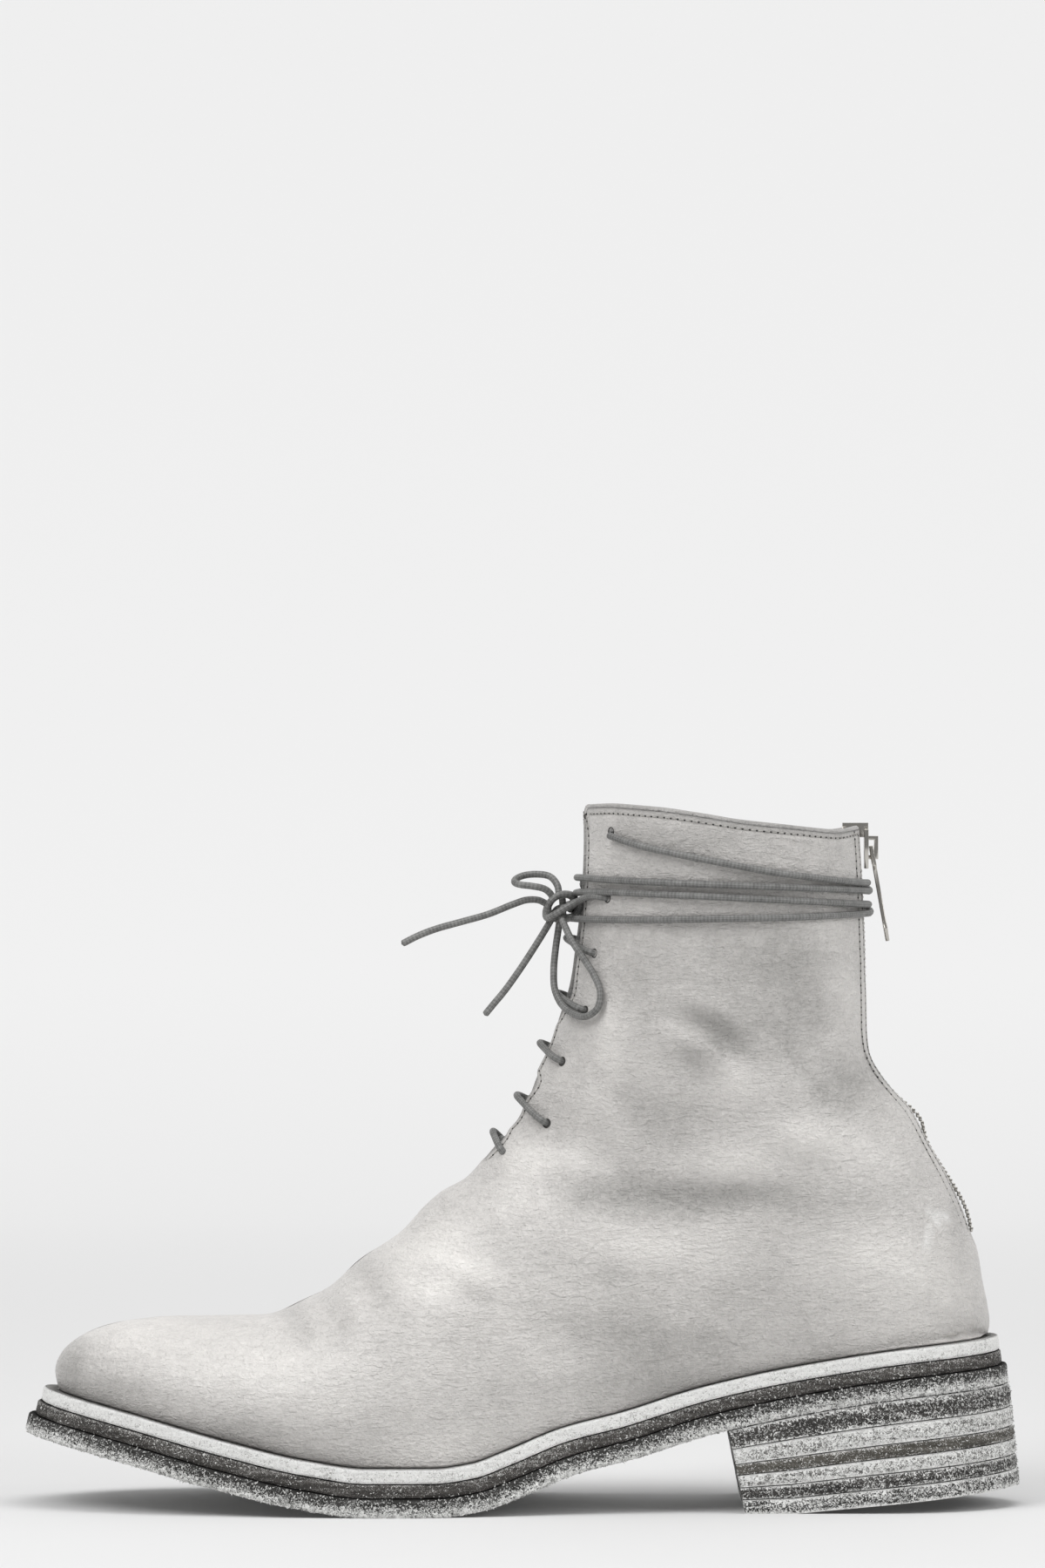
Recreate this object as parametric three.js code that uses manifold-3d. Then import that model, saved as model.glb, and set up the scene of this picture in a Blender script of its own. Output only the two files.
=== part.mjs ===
// A left lace-up ankle boot with a zip up its back, standing empty on its sole.
// Lengths are in millimetres. +Z is up, the toe points along -X, and the outer side of the foot is -Y.

import * as THREE from 'three';
import { mergeVertices } from 'three/addons/utils/BufferGeometryUtils.js';
import Module from 'manifold-3d';

const wasm = await Module();
wasm.setup();

// Driving dimensions
const SOLE_LENGTH = 297;
const BALL_WIDTH = 106;
const BOOT_HEIGHT = 210;
const TOE_SPRING = 22;
const HEEL_RISE = 37;
const HEEL_FLARE = 3;
const HEEL_WEAR = 6.3;
const OUTSOLE_THICKNESS = 5.5;
const MIDSOLE_THICKNESS = 3.9;
const WELT_THICKNESS = 4.2;
const WELT_REACH = 6.8;
const WELT_STRIP = 13;
const INSOLE_THICKNESS = 2;
const LEATHER_WALL = 2.2;
const TONGUE_THICKNESS = 2;
const EYELET_RADIUS = 1.6;
const LACE_DIAMETER = 2.1;
const KNOT_RADIUS = 2.9;
const ZIP_SLIT = 8;
const ZIP_TAPE_WIDTH = 24;
const ZIP_TAPE_THICKNESS = 0.8;
const ZIP_CHAIN_WIDTH = 5.6;
const ZIP_RIB_HEIGHT = 0.5;
const ZIP_RIB_PITCH = 4.2;
const ZIP_BULGE = 1.7;
const SLIDER_WIDTH = 9;
const SLIDER_HEIGHT = 12.6;
const SLIDER_PLATE = 1.2;
const BAIL_HEIGHT = 7;
const BAIL_WIDTH = 2.6;
const PULL_LENGTH = 28.7;
const PULL_TIP_WIDTH = 6.4;
const PULL_WIRE = 1.2;
const PULL_TILT = 10;
const GAP = 0.3;
const FEATHER_GAP = 0.55;
const INSOLE_MARGIN = 1.6;

// Heights above the tread, measured square to it
const MIDSOLE_SEAT = OUTSOLE_THICKNESS + GAP;
const WELT_SEAT = MIDSOLE_SEAT + MIDSOLE_THICKNESS + GAP;
const WELT_TOP = WELT_SEAT + WELT_THICKNESS;
const UPPER_SEAT = WELT_TOP + FEATHER_GAP;

// The toe end of the sole, placed so that the flared heel ends as far behind the origin
const TOE_X = -(SOLE_LENGTH + HEEL_FLARE) / 2;

// The tread from toe to heel: its height as shares of the toe spring and of the heel rise
const TREAD = [
  { at: 0.00, toe: 1.000, heel: 0.000 },
  { at: 0.10, toe: 0.700, heel: 0.000 },
  { at: 0.20, toe: 0.355, heel: 0.000 },
  { at: 0.28, toe: 0.120, heel: 0.000 },
  { at: 0.35, toe: 0.000, heel: 0.000 },
  { at: 0.42, toe: 0.000, heel: 0.000 },
  { at: 0.465, toe: 0.000, heel: 0.045 },
  { at: 0.51, toe: 0.000, heel: 0.170 },
  { at: 0.56, toe: 0.000, heel: 0.330 },
  { at: 0.62, toe: 0.000, heel: 0.450 },
  { at: 0.70, toe: 0.000, heel: 0.645 },
  { at: 0.80, toe: 0.000, heel: 0.815 },
  { at: 0.90, toe: 0.000, heel: 0.935 },
  { at: 1.00, toe: 0.000, heel: 1.000 },
];

// The sole seen from above: half widths and sideways swing of the middle line, as shares of BALL_WIDTH
const OUTLINE = [
  { at: 0.00, outer: 0.470, inner: 0.490, swing: 0.038 },
  { at: 0.20, outer: 0.470, inner: 0.495, swing: 0.014 },
  { at: 0.28, outer: 0.487, inner: 0.500, swing: 0.000 },
  { at: 0.38, outer: 0.500, inner: 0.470, swing: 0.000 },
  { at: 0.48, outer: 0.455, inner: 0.390, swing: 0.000 },
  { at: 0.58, outer: 0.395, inner: 0.325, swing: 0.000 },
  { at: 0.68, outer: 0.355, inner: 0.312, swing: 0.000 },
  { at: 0.78, outer: 0.345, inner: 0.332, swing: 0.000 },
  { at: 0.87, outer: 0.350, inner: 0.350, swing: 0.000 },
  { at: 1.00, outer: 0.350, inner: 0.350, swing: 0.000 },
];

// The stretch of the sole that is rounded at each end, as shares of its length
const TOE_ROUND = 0.27;
const HEEL_ROUND = 0.13;

// How far each edge stands back from the outsole's, as shares of WELT_REACH
const EDGES = [
  { at: 0.00, outsole: 0, midsole: 0.26, welt: 0.38, feather: 1.00 },
  { at: 0.35, outsole: 0, midsole: 0.22, welt: 0.30, feather: 0.95 },
  { at: 0.60, outsole: 0, midsole: 0.18, welt: 0.22, feather: 0.60 },
  { at: 1.00, outsole: 0, midsole: 0.22, welt: 0.28, feather: 0.74 },
];

// The front line of the upper from the toe to the collar. Both columns start at the toe of the feather
// edge: along is a share of SOLE_LENGTH, up a share of the height from there to the collar.
const FRONT_LINE = [
  { along: 0.000, up: 0.000 },
  { along: -0.003, up: 0.033 },
  { along: 0.004, up: 0.061 },
  { along: 0.019, up: 0.084 },
  { along: 0.035, up: 0.098 },
  { along: 0.057, up: 0.110 },
  { along: 0.101, up: 0.1205 },
  { along: 0.146, up: 0.123 },
  { along: 0.190, up: 0.125 },
  { along: 0.215, up: 0.1275 },
  { along: 0.252, up: 0.153 },
  { along: 0.279, up: 0.177 },
  { along: 0.307, up: 0.221 },
  { along: 0.349, up: 0.269 },
  { along: 0.373, up: 0.313 },
  { along: 0.390, up: 0.338 },
  { along: 0.416, up: 0.363 },
  { along: 0.430, up: 0.389 },
  { along: 0.445, up: 0.423 },
  { along: 0.468, up: 0.466 },
  { along: 0.477, up: 0.505 },
  { along: 0.487, up: 0.547 },
  { along: 0.499, up: 0.588 },
  { along: 0.5095, up: 0.642 },
  { along: 0.519, up: 0.690 },
  { along: 0.526, up: 0.766 },
  { along: 0.532, up: 0.858 },
  { along: 0.534, up: 0.930 },
  { along: 0.534, up: 1.000 },
];

// The back line from the heel's feather edge to the collar: at is the share of that height, along how far
// the line stands behind its start, as a share of SOLE_LENGTH
const BACK_LINE = [
  { at: 0.000, along: 0.0000 },
  { at: 0.022, along: 0.0020 },
  { at: 0.055, along: 0.0000 },
  { at: 0.107, along: -0.0055 },
  { at: 0.157, along: -0.0095 },
  { at: 0.216, along: -0.0190 },
  { at: 0.316, along: -0.0410 },
  { at: 0.389, along: -0.0625 },
  { at: 0.444, along: -0.0770 },
  { at: 0.489, along: -0.0980 },
  { at: 0.520, along: -0.1100 },
  { at: 0.558, along: -0.1205 },
  { at: 0.611, along: -0.1230 },
  { at: 0.756, along: -0.1240 },
  { at: 0.862, along: -0.1260 },
  { at: 1.000, along: -0.1300 },
];
const BACK_DROP = 6.3;

// Sections of the upper, fanned out from the front line. At is the share of the front line where a section
// starts, end is where it ends: 0 to 1 along the feather edge, then 1 to 2 up the back line. Outer and inner
// are its greatest half widths as shares of BALL_WIDTH, belly is how far along it reaches them, crown is how
// sharply it rounds in front, rear is the length of its round back as a share of SOLE_LENGTH, and collar is
// its share of the collar's curve.
const SECTIONS = [
  { at: 0.000, end: 0.000, outer: 0.424, inner: 0.448, belly: 0.76, crown: 0.50, rear: 0.13, collar: 0 },
  { at: 0.040, end: 0.012, outer: 0.424, inner: 0.448, belly: 0.76, crown: 0.50, rear: 0.13, collar: 0 },
  { at: 0.110, end: 0.070, outer: 0.424, inner: 0.448, belly: 0.76, crown: 0.50, rear: 0.13, collar: 0 },
  { at: 0.210, end: 0.160, outer: 0.424, inner: 0.450, belly: 0.76, crown: 0.50, rear: 0.13, collar: 0 },
  { at: 0.285, end: 0.245, outer: 0.440, inner: 0.455, belly: 0.76, crown: 0.50, rear: 0.13, collar: 0 },
  { at: 0.370, end: 0.330, outer: 0.455, inner: 0.440, belly: 0.76, crown: 0.51, rear: 0.13, collar: 0 },
  { at: 0.470, end: 0.470, outer: 0.420, inner: 0.385, belly: 0.75, crown: 0.54, rear: 0.13, collar: 0 },
  { at: 0.550, end: 0.660, outer: 0.362, inner: 0.347, belly: 0.71, crown: 0.57, rear: 0.13, collar: 0 },
  { at: 0.600, end: 0.870, outer: 0.343, inner: 0.338, belly: 0.66, crown: 0.58, rear: 0.13, collar: 0 },
  { at: 0.635, end: 1.000, outer: 0.338, inner: 0.335, belly: 0.62, crown: 0.59, rear: 0.13, collar: 0 },
  { at: 0.665, end: 1.163, outer: 0.334, inner: 0.334, belly: 0.58, crown: 0.60, rear: 0.13, collar: 0 },
  { at: 0.700, end: 1.387, outer: 0.333, inner: 0.337, belly: 0.54, crown: 0.62, rear: 0.14, collar: 0 },
  { at: 0.735, end: 1.532, outer: 0.335, inner: 0.340, belly: 0.52, crown: 0.63, rear: 0.14, collar: 0 },
  { at: 0.773, end: 1.644, outer: 0.340, inner: 0.342, belly: 0.50, crown: 0.64, rear: 0.14, collar: 0 },
  { at: 0.869, end: 1.809, outer: 0.354, inner: 0.354, belly: 0.50, crown: 0.64, rear: 0.14, collar: 0 },
  { at: 1.000, end: 2.000, outer: 0.363, inner: 0.363, belly: 0.50, crown: 0.62, rear: 0.14, collar: 1 },
];

// The collar's edge from front to back: its rise over a straight line, as a share of BOOT_HEIGHT
const COLLAR_EDGE = [
  { at: 0.00, rise: 0.0000 },
  { at: 0.12, rise: 0.0045 },
  { at: 0.27, rise: 0.0040 },
  { at: 0.43, rise: 0.0000 },
  { at: 0.58, rise: -0.0050 },
  { at: 0.75, rise: -0.0072 },
  { at: 0.90, rise: -0.0088 },
  { at: 1.00, rise: 0.0000 },
];

// Where the sections of the mesh stand, as shares of the front line, and how many faces cross each side
const SECTION_PLACES = [
  0, 0.012, 0.027, 0.045, 0.066, 0.09, 0.12, 0.155, 0.19, 0.225, 0.26, 0.29, 0.32, 0.35, 0.38, 0.41, 0.44,
  0.47, 0.497, 0.523, 0.547, 0.57, 0.587, 0.6, 0.609, 0.617, 0.624, 0.629, 0.6325, 0.635, 0.643, 0.657, 0.67,
  0.685, 0.7, 0.71, 0.722, 0.735, 0.753, 0.773, 0.8, 0.835, 0.869, 0.91, 0.955, 1,
];
const FRONT_FACES = 6;
const REAR_FACES = 5;

// The throat: half widths of the slit between the facings, from its tip to above the collar
const THROAT = [
  { at: 0.490, half: 0.000 },
  { at: 0.500, half: 0.017 },
  { at: 0.545, half: 0.028 },
  { at: 0.620, half: 0.026 },
  { at: 0.700, half: 0.016 },
  { at: 0.850, half: 0.014 },
  { at: 1.050, half: 0.017 },
];
const THROAT_STEPS = 14;

// Lace holes from the lowest to the collar: share of the front line, and share of the section behind it
const EYELETS = [
  { at: 0.600, back: 0.034 },
  { at: 0.650, back: 0.055 },
  { at: 0.715, back: 0.052 },
  { at: 0.773, back: 0.077 },
  { at: 0.838, back: 0.070 },
  { at: 0.900, back: 0.095 },
  { at: 0.973, back: 0.100 },
];

// The tongue: where it starts and ends up the front line, and how many faces it reaches round each side
const TONGUE_START = 0.497;
const TONGUE_END = 0.985;
const TONGUE_FACES = 3;

// The heel's breast, as shares of SOLE_LENGTH at its top and bottom, and the joints between its lifts
const BREAST_TOP = 0.713;
const BREAST_BOTTOM = 0.7295;
const HEEL_FLAT = 0.19;
const HEEL_LIFTS = [
  { name: 'heel_lift_1', from: 0.00, to: 0.23, color: 0x5d5c5a },
  { name: 'heel_lift_2', from: 0.23, to: 0.42, color: 0xb9b8b5 },
  { name: 'heel_lift_3', from: 0.42, to: 0.55, color: 0x6b6763 },
  { name: 'heel_lift_4', from: 0.55, to: 0.70, color: 0xa3a2a0 },
  { name: 'heel_lift_5', from: 0.70, to: 0.84, color: 0x545352 },
  { name: 'top_lift', from: 0.84, to: 1.00, color: 0x8b8a88 },
];
const LIFT_BULGE = 0.4;

const mix = THREE.MathUtils.lerp;

// The slope of a column at one row, kept flat at a peak so that the curve never overshoots
function slopeAt(table, column, row) {
  const rise = (from) => {
    const [row, next] = table.slice(from, from + 2);
    return (next[column] - row[column]) / (next.at - row.at);
  };
  if (row === 0) return rise(0);
  if (row === table.length - 1) return rise(row - 1);
  const before = rise(row - 1);
  const after = rise(row);
  return before * after > 0 ? 2 * before * after / (before + after) : 0;
}

// One column of a table, read on a smooth curve through its rows
function valueAt(table, column, at) {
  const last = table.length - 1;
  if (at <= table[0].at) return table[0][column];
  if (at >= table[last].at) return table[last][column];
  let row = 0;
  while (table[row + 1].at < at) row += 1;
  const span = table[row + 1].at - table[row].at;
  const t = (at - table[row].at) / span;
  const bend = (slope, weight) => slope * span * weight;
  return table[row][column] * (2 * t ** 3 - 3 * t ** 2 + 1)
    + table[row + 1][column] * (3 * t ** 2 - 2 * t ** 3)
    + bend(slopeAt(table, column, row), t ** 3 - 2 * t ** 2 + t)
    + bend(slopeAt(table, column, row + 1), t ** 3 - t ** 2);
}

// Solids: a triangle mesh is closed, turned outward and handed to the solid library, and back
function asSolid(geometry) {
  const bare = new THREE.BufferGeometry();
  bare.setAttribute('position', geometry.getAttribute('position').clone());
  bare.setIndex(geometry.getIndex());
  const merged = mergeVertices(bare, 1e-4);
  const places = merged.getAttribute('position').array;
  const corners = merged.getIndex().array;
  const triangles = [];
  let volume = 0;
  const corner = (index) => new THREE.Vector3().fromArray(places, index * 3);
  for (let i = 0; i < corners.length; i += 3) {
    const [a, b, c] = [corners[i], corners[i + 1], corners[i + 2]];
    if (a === b || b === c || a === c) continue;
    volume += corner(a).dot(corner(b).cross(corner(c)));
    triangles.push([a, b, c]);
  }
  const turned = volume < 0 ? triangles.map(([a, b, c]) => [a, c, b]) : triangles;
  const vertProperties = new Float32Array(places);
  const triVerts = new Uint32Array(turned.flat());
  return new wasm.Manifold(new wasm.Mesh({ numProp: 3, vertProperties, triVerts }));
}

function asGeometry(solid) {
  const mesh = solid.getMesh();
  const geometry = new THREE.BufferGeometry();
  geometry.setAttribute('position', new THREE.BufferAttribute(new Float32Array(mesh.vertProperties), 3));
  geometry.setIndex(new THREE.BufferAttribute(new Uint32Array(mesh.triVerts), 1));
  geometry.computeVertexNormals();
  return geometry;
}

// A closed mesh from a list of corner points and quads of their indices
function quadMesh(points, quads) {
  const geometry = new THREE.BufferGeometry();
  geometry.setAttribute('position', new THREE.Float32BufferAttribute(points.flat(), 3));
  geometry.setIndex(quads.flatMap(([a, b, c, d]) => [a, b, c, a, c, d]));
  return geometry;
}

// A layered slab: levels run from bottom to top, and each is a list of stations from toe to heel with
// one point on the outer edge and one on the inner edge
function layeredSlab(levels) {
  const count = levels[0].length;
  const points = levels.flatMap((level) => level.flatMap((station) => [station.outer, station.inner]));
  const outer = (level, station) => (level * count + station) * 2;
  const inner = (level, station) => outer(level, station) + 1;
  const top = levels.length - 1;
  const end = count - 1;
  const quads = [];
  for (let k = 0; k < end; k += 1) {
    quads.push([outer(0, k), inner(0, k), inner(0, k + 1), outer(0, k + 1)]);
    quads.push([outer(top, k), outer(top, k + 1), inner(top, k + 1), inner(top, k)]);
    for (let l = 0; l < top; l += 1) {
      quads.push([outer(l, k), outer(l, k + 1), outer(l + 1, k + 1), outer(l + 1, k)]);
      quads.push([inner(l, k), inner(l + 1, k), inner(l + 1, k + 1), inner(l, k + 1)]);
    }
  }
  for (let l = 0; l < top; l += 1) {
    quads.push([outer(l, 0), outer(l + 1, 0), inner(l + 1, 0), inner(l, 0)]);
    quads.push([outer(l, end), inner(l, end), inner(l + 1, end), outer(l + 1, end)]);
  }
  return asSolid(quadMesh(points, quads));
}

// The sole's side view: the tread line, and a point at a height square to it
function treadPoint(share) {
  const z = valueAt(TREAD, 'toe', share) * TOE_SPRING + valueAt(TREAD, 'heel', share) * HEEL_RISE;
  return { x: TOE_X + share * SOLE_LENGTH, z };
}

function solePoint(share, height) {
  const reach = 0.004;
  const here = treadPoint(share);
  const before = treadPoint(Math.max(0, share - reach));
  const after = treadPoint(Math.min(1, share + reach));
  const run = after.x - before.x;
  const rise = after.z - before.z;
  const length = Math.hypot(run, rise);
  return { x: here.x - height * rise / length, z: here.z + height * run / length };
}

// The sole's plan at a share u from toe to heel of an outline that stands inset from the outsole's edge
const edgeInset = (name, extra = 0) => (share) => valueAt(EDGES, name, share) * WELT_REACH + extra;
const roundEnd = (reach) => (reach >= 1 ? 1 : Math.sqrt(Math.max(0, 1 - (1 - reach) ** 2)));

function footprint(u, inset) {
  const toe = inset(0) / SOLE_LENGTH;
  const heel = inset(1) / SOLE_LENGTH;
  const share = mix(toe, 1 - heel, u);
  const toeRound = roundEnd((share - toe) / TOE_ROUND);
  const heelRound = roundEnd((1 - heel - share) / HEEL_ROUND);
  const half = (side) => (valueAt(OUTLINE, side, share) * BALL_WIDTH - inset(share)) * toeRound * heelRound;
  const swing = valueAt(OUTLINE, 'swing', share) * BALL_WIDTH;
  return { share, toeRound, outer: half('outer'), inner: half('inner'), swing };
}

// Stations along the sole: close together where the ends are round, and exact at the ends of the flat spot
const SOLE_STATIONS = 34;
const CLOSEST_STATION = 0.012;
const flatEnds = TREAD.filter((row) => row.toe === 0 && row.heel === 0).map((row) => row.at);
const stationShares = [...flatEnds];
for (let k = 0; k <= SOLE_STATIONS; k += 1) {
  const share = (1 - Math.cos(Math.PI * k / SOLE_STATIONS)) / 2;
  if (flatEnds.every((end) => Math.abs(end - share) > CLOSEST_STATION)) stationShares.push(share);
}
stationShares.sort((a, b) => a - b);

// One level of the sole: the outline at an inset, at a height above the tread
function soleLevel(height, inset) {
  return stationShares.map((u) => {
    const plan = footprint(u, inset);
    const at = solePoint(plan.share, height);
    return { outer: [at.x, plan.swing - plan.outer, at.z], inner: [at.x, plan.swing + plan.inner, at.z] };
  });
}

function makeOutsole() {
  const edge = OUTSOLE_THICKNESS / 4;
  return layeredSlab([
    soleLevel(0, edgeInset('outsole', edge)),
    soleLevel(edge, edgeInset('outsole')),
    soleLevel(OUTSOLE_THICKNESS, edgeInset('outsole')),
  ]);
}

function makeMidsole() {
  return layeredSlab([
    soleLevel(MIDSOLE_SEAT, edgeInset('midsole')),
    soleLevel(MIDSOLE_SEAT + MIDSOLE_THICKNESS, edgeInset('midsole')),
  ]);
}

function makeWelt() {
  const edge = WELT_THICKNESS / 4;
  const strip = layeredSlab([
    soleLevel(WELT_SEAT, edgeInset('welt')),
    soleLevel(WELT_TOP - edge, edgeInset('welt')),
    soleLevel(WELT_TOP, edgeInset('welt', edge)),
  ]);
  const middle = layeredSlab([
    soleLevel(WELT_SEAT - GAP, edgeInset('outsole', WELT_STRIP)),
    soleLevel(WELT_TOP + GAP, edgeInset('outsole', WELT_STRIP)),
  ]);
  return strip.subtract(middle);
}

// The insole fills the middle of the welt and covers its strip inside the upper
function makeInsole() {
  const plug = edgeInset('outsole', WELT_STRIP + GAP);
  const cover = edgeInset('feather', LEATHER_WALL + INSOLE_MARGIN);
  return layeredSlab([
    soleLevel(WELT_SEAT, plug),
    soleLevel(UPPER_SEAT, plug),
    soleLevel(UPPER_SEAT, cover),
    soleLevel(UPPER_SEAT + INSOLE_THICKNESS, cover),
  ]);
}

// A point on the heel block: u runs from the breast to the back, depth from the outsole down to the floor
function heelPoint(u, depth, bulge) {
  const breast = mix(BREAST_TOP, BREAST_BOTTOM, depth);
  const plan = footprint(mix(breast, 1, u), edgeInset('outsole'));
  const top = solePoint(plan.share, -GAP);
  const worn = Math.max(0, (u - HEEL_FLAT) / (1 - HEEL_FLAT));
  const z = mix(top.z, HEEL_WEAR * worn, depth);
  const x = mix(top.x, TOE_X + plan.share * SOLE_LENGTH, depth) + (HEEL_FLARE * depth + bulge) * u ** 3;
  const flare = u < 1 ? (HEEL_FLARE * depth / 4 + bulge) * Math.min(1, 4 * (1 - u)) : 0;
  return { outer: [x, plan.swing - plan.outer - flare, z], inner: [x, plan.swing + plan.inner + flare, z] };
}

const HEEL_STATIONS = 11;
const CLOSEST_HEEL_STATION = 0.05;
const heelShares = [0, HEEL_FLAT];
for (let k = 1; k <= HEEL_STATIONS; k += 1) {
  const share = Math.sin(Math.PI / 2 * k / HEEL_STATIONS);
  if (share > HEEL_FLAT + CLOSEST_HEEL_STATION) heelShares.push(share);
}

function makeLift(lift) {
  const height = solePoint(BREAST_TOP, -GAP).z;
  const joint = lift.to < 1 ? GAP / height : 0;
  const depths = [
    { depth: lift.to - joint, bulge: 0 },
    { depth: mix(lift.from, lift.to, 0.5), bulge: LIFT_BULGE },
    { depth: lift.from, bulge: 0 },
  ];
  return layeredSlab(depths.map(({ depth, bulge }) => heelShares.map((u) => heelPoint(u, depth, bulge))));
}

// The upper's lines in side view
const toeFeather = solePoint(footprint(0, edgeInset('feather')).share, UPPER_SEAT);
const heelFeather = solePoint(footprint(1, edgeInset('feather')).share, UPPER_SEAT);

const frontLine = new THREE.CatmullRomCurve3(FRONT_LINE.map((row) => new THREE.Vector3(
  toeFeather.x + row.along * SOLE_LENGTH, 0, mix(toeFeather.z, BOOT_HEIGHT, row.up))), false, 'centripetal');
frontLine.arcLengthDivisions = 600;

const backTop = BOOT_HEIGHT - BACK_DROP;
const backX = (z) => heelFeather.x + SOLE_LENGTH
  * valueAt(BACK_LINE, 'along', (z - heelFeather.z) / (backTop - heelFeather.z));

function backPoint(share) {
  const z = mix(heelFeather.z, backTop, share);
  return { x: backX(z), z };
}

// Half of a section runs from 0 at the front line to 1 at its end: the belly lies at BELLY_TURN
const BELLY_TURN = 0.5;

// How far up the back line the sections take to lose the width of the seat
const SEAT_FADE = 0.3;

// One section of the upper, at a share of the front line
function sectionAt(front) {
  const read = (column) => valueAt(SECTIONS, column, front);
  const end = read('end');
  const inset = edgeInset('feather');
  const plan = footprint(Math.min(1, end), inset);
  const fade = THREE.MathUtils.smoothstep(end, 1, 1 + SEAT_FADE);
  const half = (side) => {
    const wide = read(side) * BALL_WIDTH * plan.toeRound;
    const seat = (valueAt(OUTLINE, side, plan.share) * BALL_WIDTH - inset(plan.share)) * plan.toeRound;
    return { wide, foot: mix(seat, wide, fade) };
  };
  return {
    start: frontLine.getPointAt(front),
    stop: end > 1 ? backPoint(end - 1) : solePoint(plan.share, UPPER_SEAT),
    swing: plan.swing,
    outer: half('outer'),
    inner: half('inner'),
    belly: read('belly'),
    crown: read('crown'),
    rear: read('rear') * SOLE_LENGTH,
    collar: read('collar'),
  };
}

// A point of the upper's outer face. Turn runs from -1 on the outer side, over the front line at 0,
// to 1 on the inner side, and goes on round the back.
function skin(front, turn) {
  const round = turn > 1 ? turn - 2 : turn < -1 ? turn + 2 : turn;
  const section = sectionAt(THREE.MathUtils.clamp(front, 0, 1));
  const side = round < 0 ? section.outer : section.inner;
  const reach = Math.abs(round);
  let along;
  let half;
  if (reach < BELLY_TURN) {
    const angle = reach / BELLY_TURN * Math.PI / 2;
    along = section.belly * (1 - Math.cos(angle));
    half = side.wide * Math.sin(angle) ** (2 * section.crown);
  } else {
    const angle = Math.min(1, (reach - BELLY_TURN) / (1 - BELLY_TURN)) * Math.PI / 2;
    along = mix(section.belly, 1, Math.sin(angle));
    half = mix(side.foot, side.wide, Math.cos(angle) ** 2);
  }
  const x = mix(section.start.x, section.stop.x, along);
  const z = mix(section.start.z, section.stop.z, along);
  half *= roundEnd((backX(z) - x) / section.rear);
  const collarRise = valueAt(COLLAR_EDGE, 'rise', along) * BOOT_HEIGHT * section.collar;
  return new THREE.Vector3(x, section.swing + Math.sign(round) * half, z + collarRise);
}

// A point under (or over, with a negative depth) the upper's outer face
function underSkin(front, turn, depth, level = false) {
  const step = 0.004;
  const up = skin(Math.min(1, front + step), turn).sub(skin(Math.max(0, front - step), turn));
  const round = skin(front, turn + step).sub(skin(front, turn - step));
  const outward = up.cross(round).normalize();
  if (level) outward.setZ(0).normalize();
  return skin(front, turn).addScaledVector(outward, -depth);
}

// The upper's wall: outer and inner faces, joined at the feather edge and at the collar
function makeUpperWall() {
  const turns = [];
  for (let k = -REAR_FACES; k < 0; k += 1) turns.push(-BELLY_TURN + (1 - BELLY_TURN) * k / REAR_FACES);
  for (let k = -FRONT_FACES; k <= FRONT_FACES; k += 1) turns.push(BELLY_TURN * k / FRONT_FACES);
  for (let k = 1; k <= REAR_FACES; k += 1) turns.push(BELLY_TURN + (1 - BELLY_TURN) * k / REAR_FACES);
  const lastSection = SECTION_PLACES.length - 1;
  const lastTurn = turns.length - 1;
  const heelSection = SECTION_PLACES.filter((front) => valueAt(SECTIONS, 'end', front) <= 1).length - 1;

  const lining = (row, column) => {
    const front = SECTION_PLACES[row];
    const onEdge = row === 0 || (row <= heelSection && (column === 0 || column === lastTurn));
    if (!onEdge) return underSkin(front, turns[column], LEATHER_WALL, row === lastSection).toArray();
    const plan = footprint(valueAt(SECTIONS, 'end', front), edgeInset('feather', LEATHER_WALL));
    const at = solePoint(plan.share, UPPER_SEAT);
    const side = column < lastTurn / 2 ? -plan.outer : plan.inner;
    return [at.x, plan.swing + side, at.z];
  };

  const points = [];
  const quads = [];
  SECTION_PLACES.forEach((front, row) => turns.forEach((turn, column) => {
    points.push(skin(front, turn).toArray(), lining(row, column));
  }));
  const face = (row, column) => (row * turns.length + column) * 2;
  const back = (row, column) => face(row, column) + 1;
  for (let row = 0; row < lastSection; row += 1) {
    for (let c = 0; c < lastTurn; c += 1) {
      quads.push([face(row, c), face(row + 1, c), face(row + 1, c + 1), face(row, c + 1)]);
      quads.push([back(row, c), back(row, c + 1), back(row + 1, c + 1), back(row + 1, c)]);
    }
  }
  for (let row = 0; row < heelSection; row += 1) {
    quads.push([face(row, 0), back(row, 0), back(row + 1, 0), face(row + 1, 0)]);
    const c = lastTurn;
    quads.push([face(row, c), face(row + 1, c), back(row + 1, c), back(row, c)]);
  }
  for (let c = 0; c < lastTurn; c += 1) {
    const row = lastSection;
    quads.push([face(row, c), back(row, c), back(row, c + 1), face(row, c + 1)]);
  }
  return asSolid(quadMesh(points, quads));
}

// An outline drawn in Y and Z, pushed from one X to another
function alongX(shape, from, to) {
  const settings = { depth: to - from, bevelEnabled: false, curveSegments: 6 };
  const geometry = new THREE.ExtrudeGeometry(shape, settings);
  geometry.applyMatrix4(new THREE.Matrix4().makeBasis(
    new THREE.Vector3(0, 1, 0), new THREE.Vector3(0, 0, 1), new THREE.Vector3(1, 0, 0)));
  return geometry.translate(from, 0, 0);
}

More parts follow.
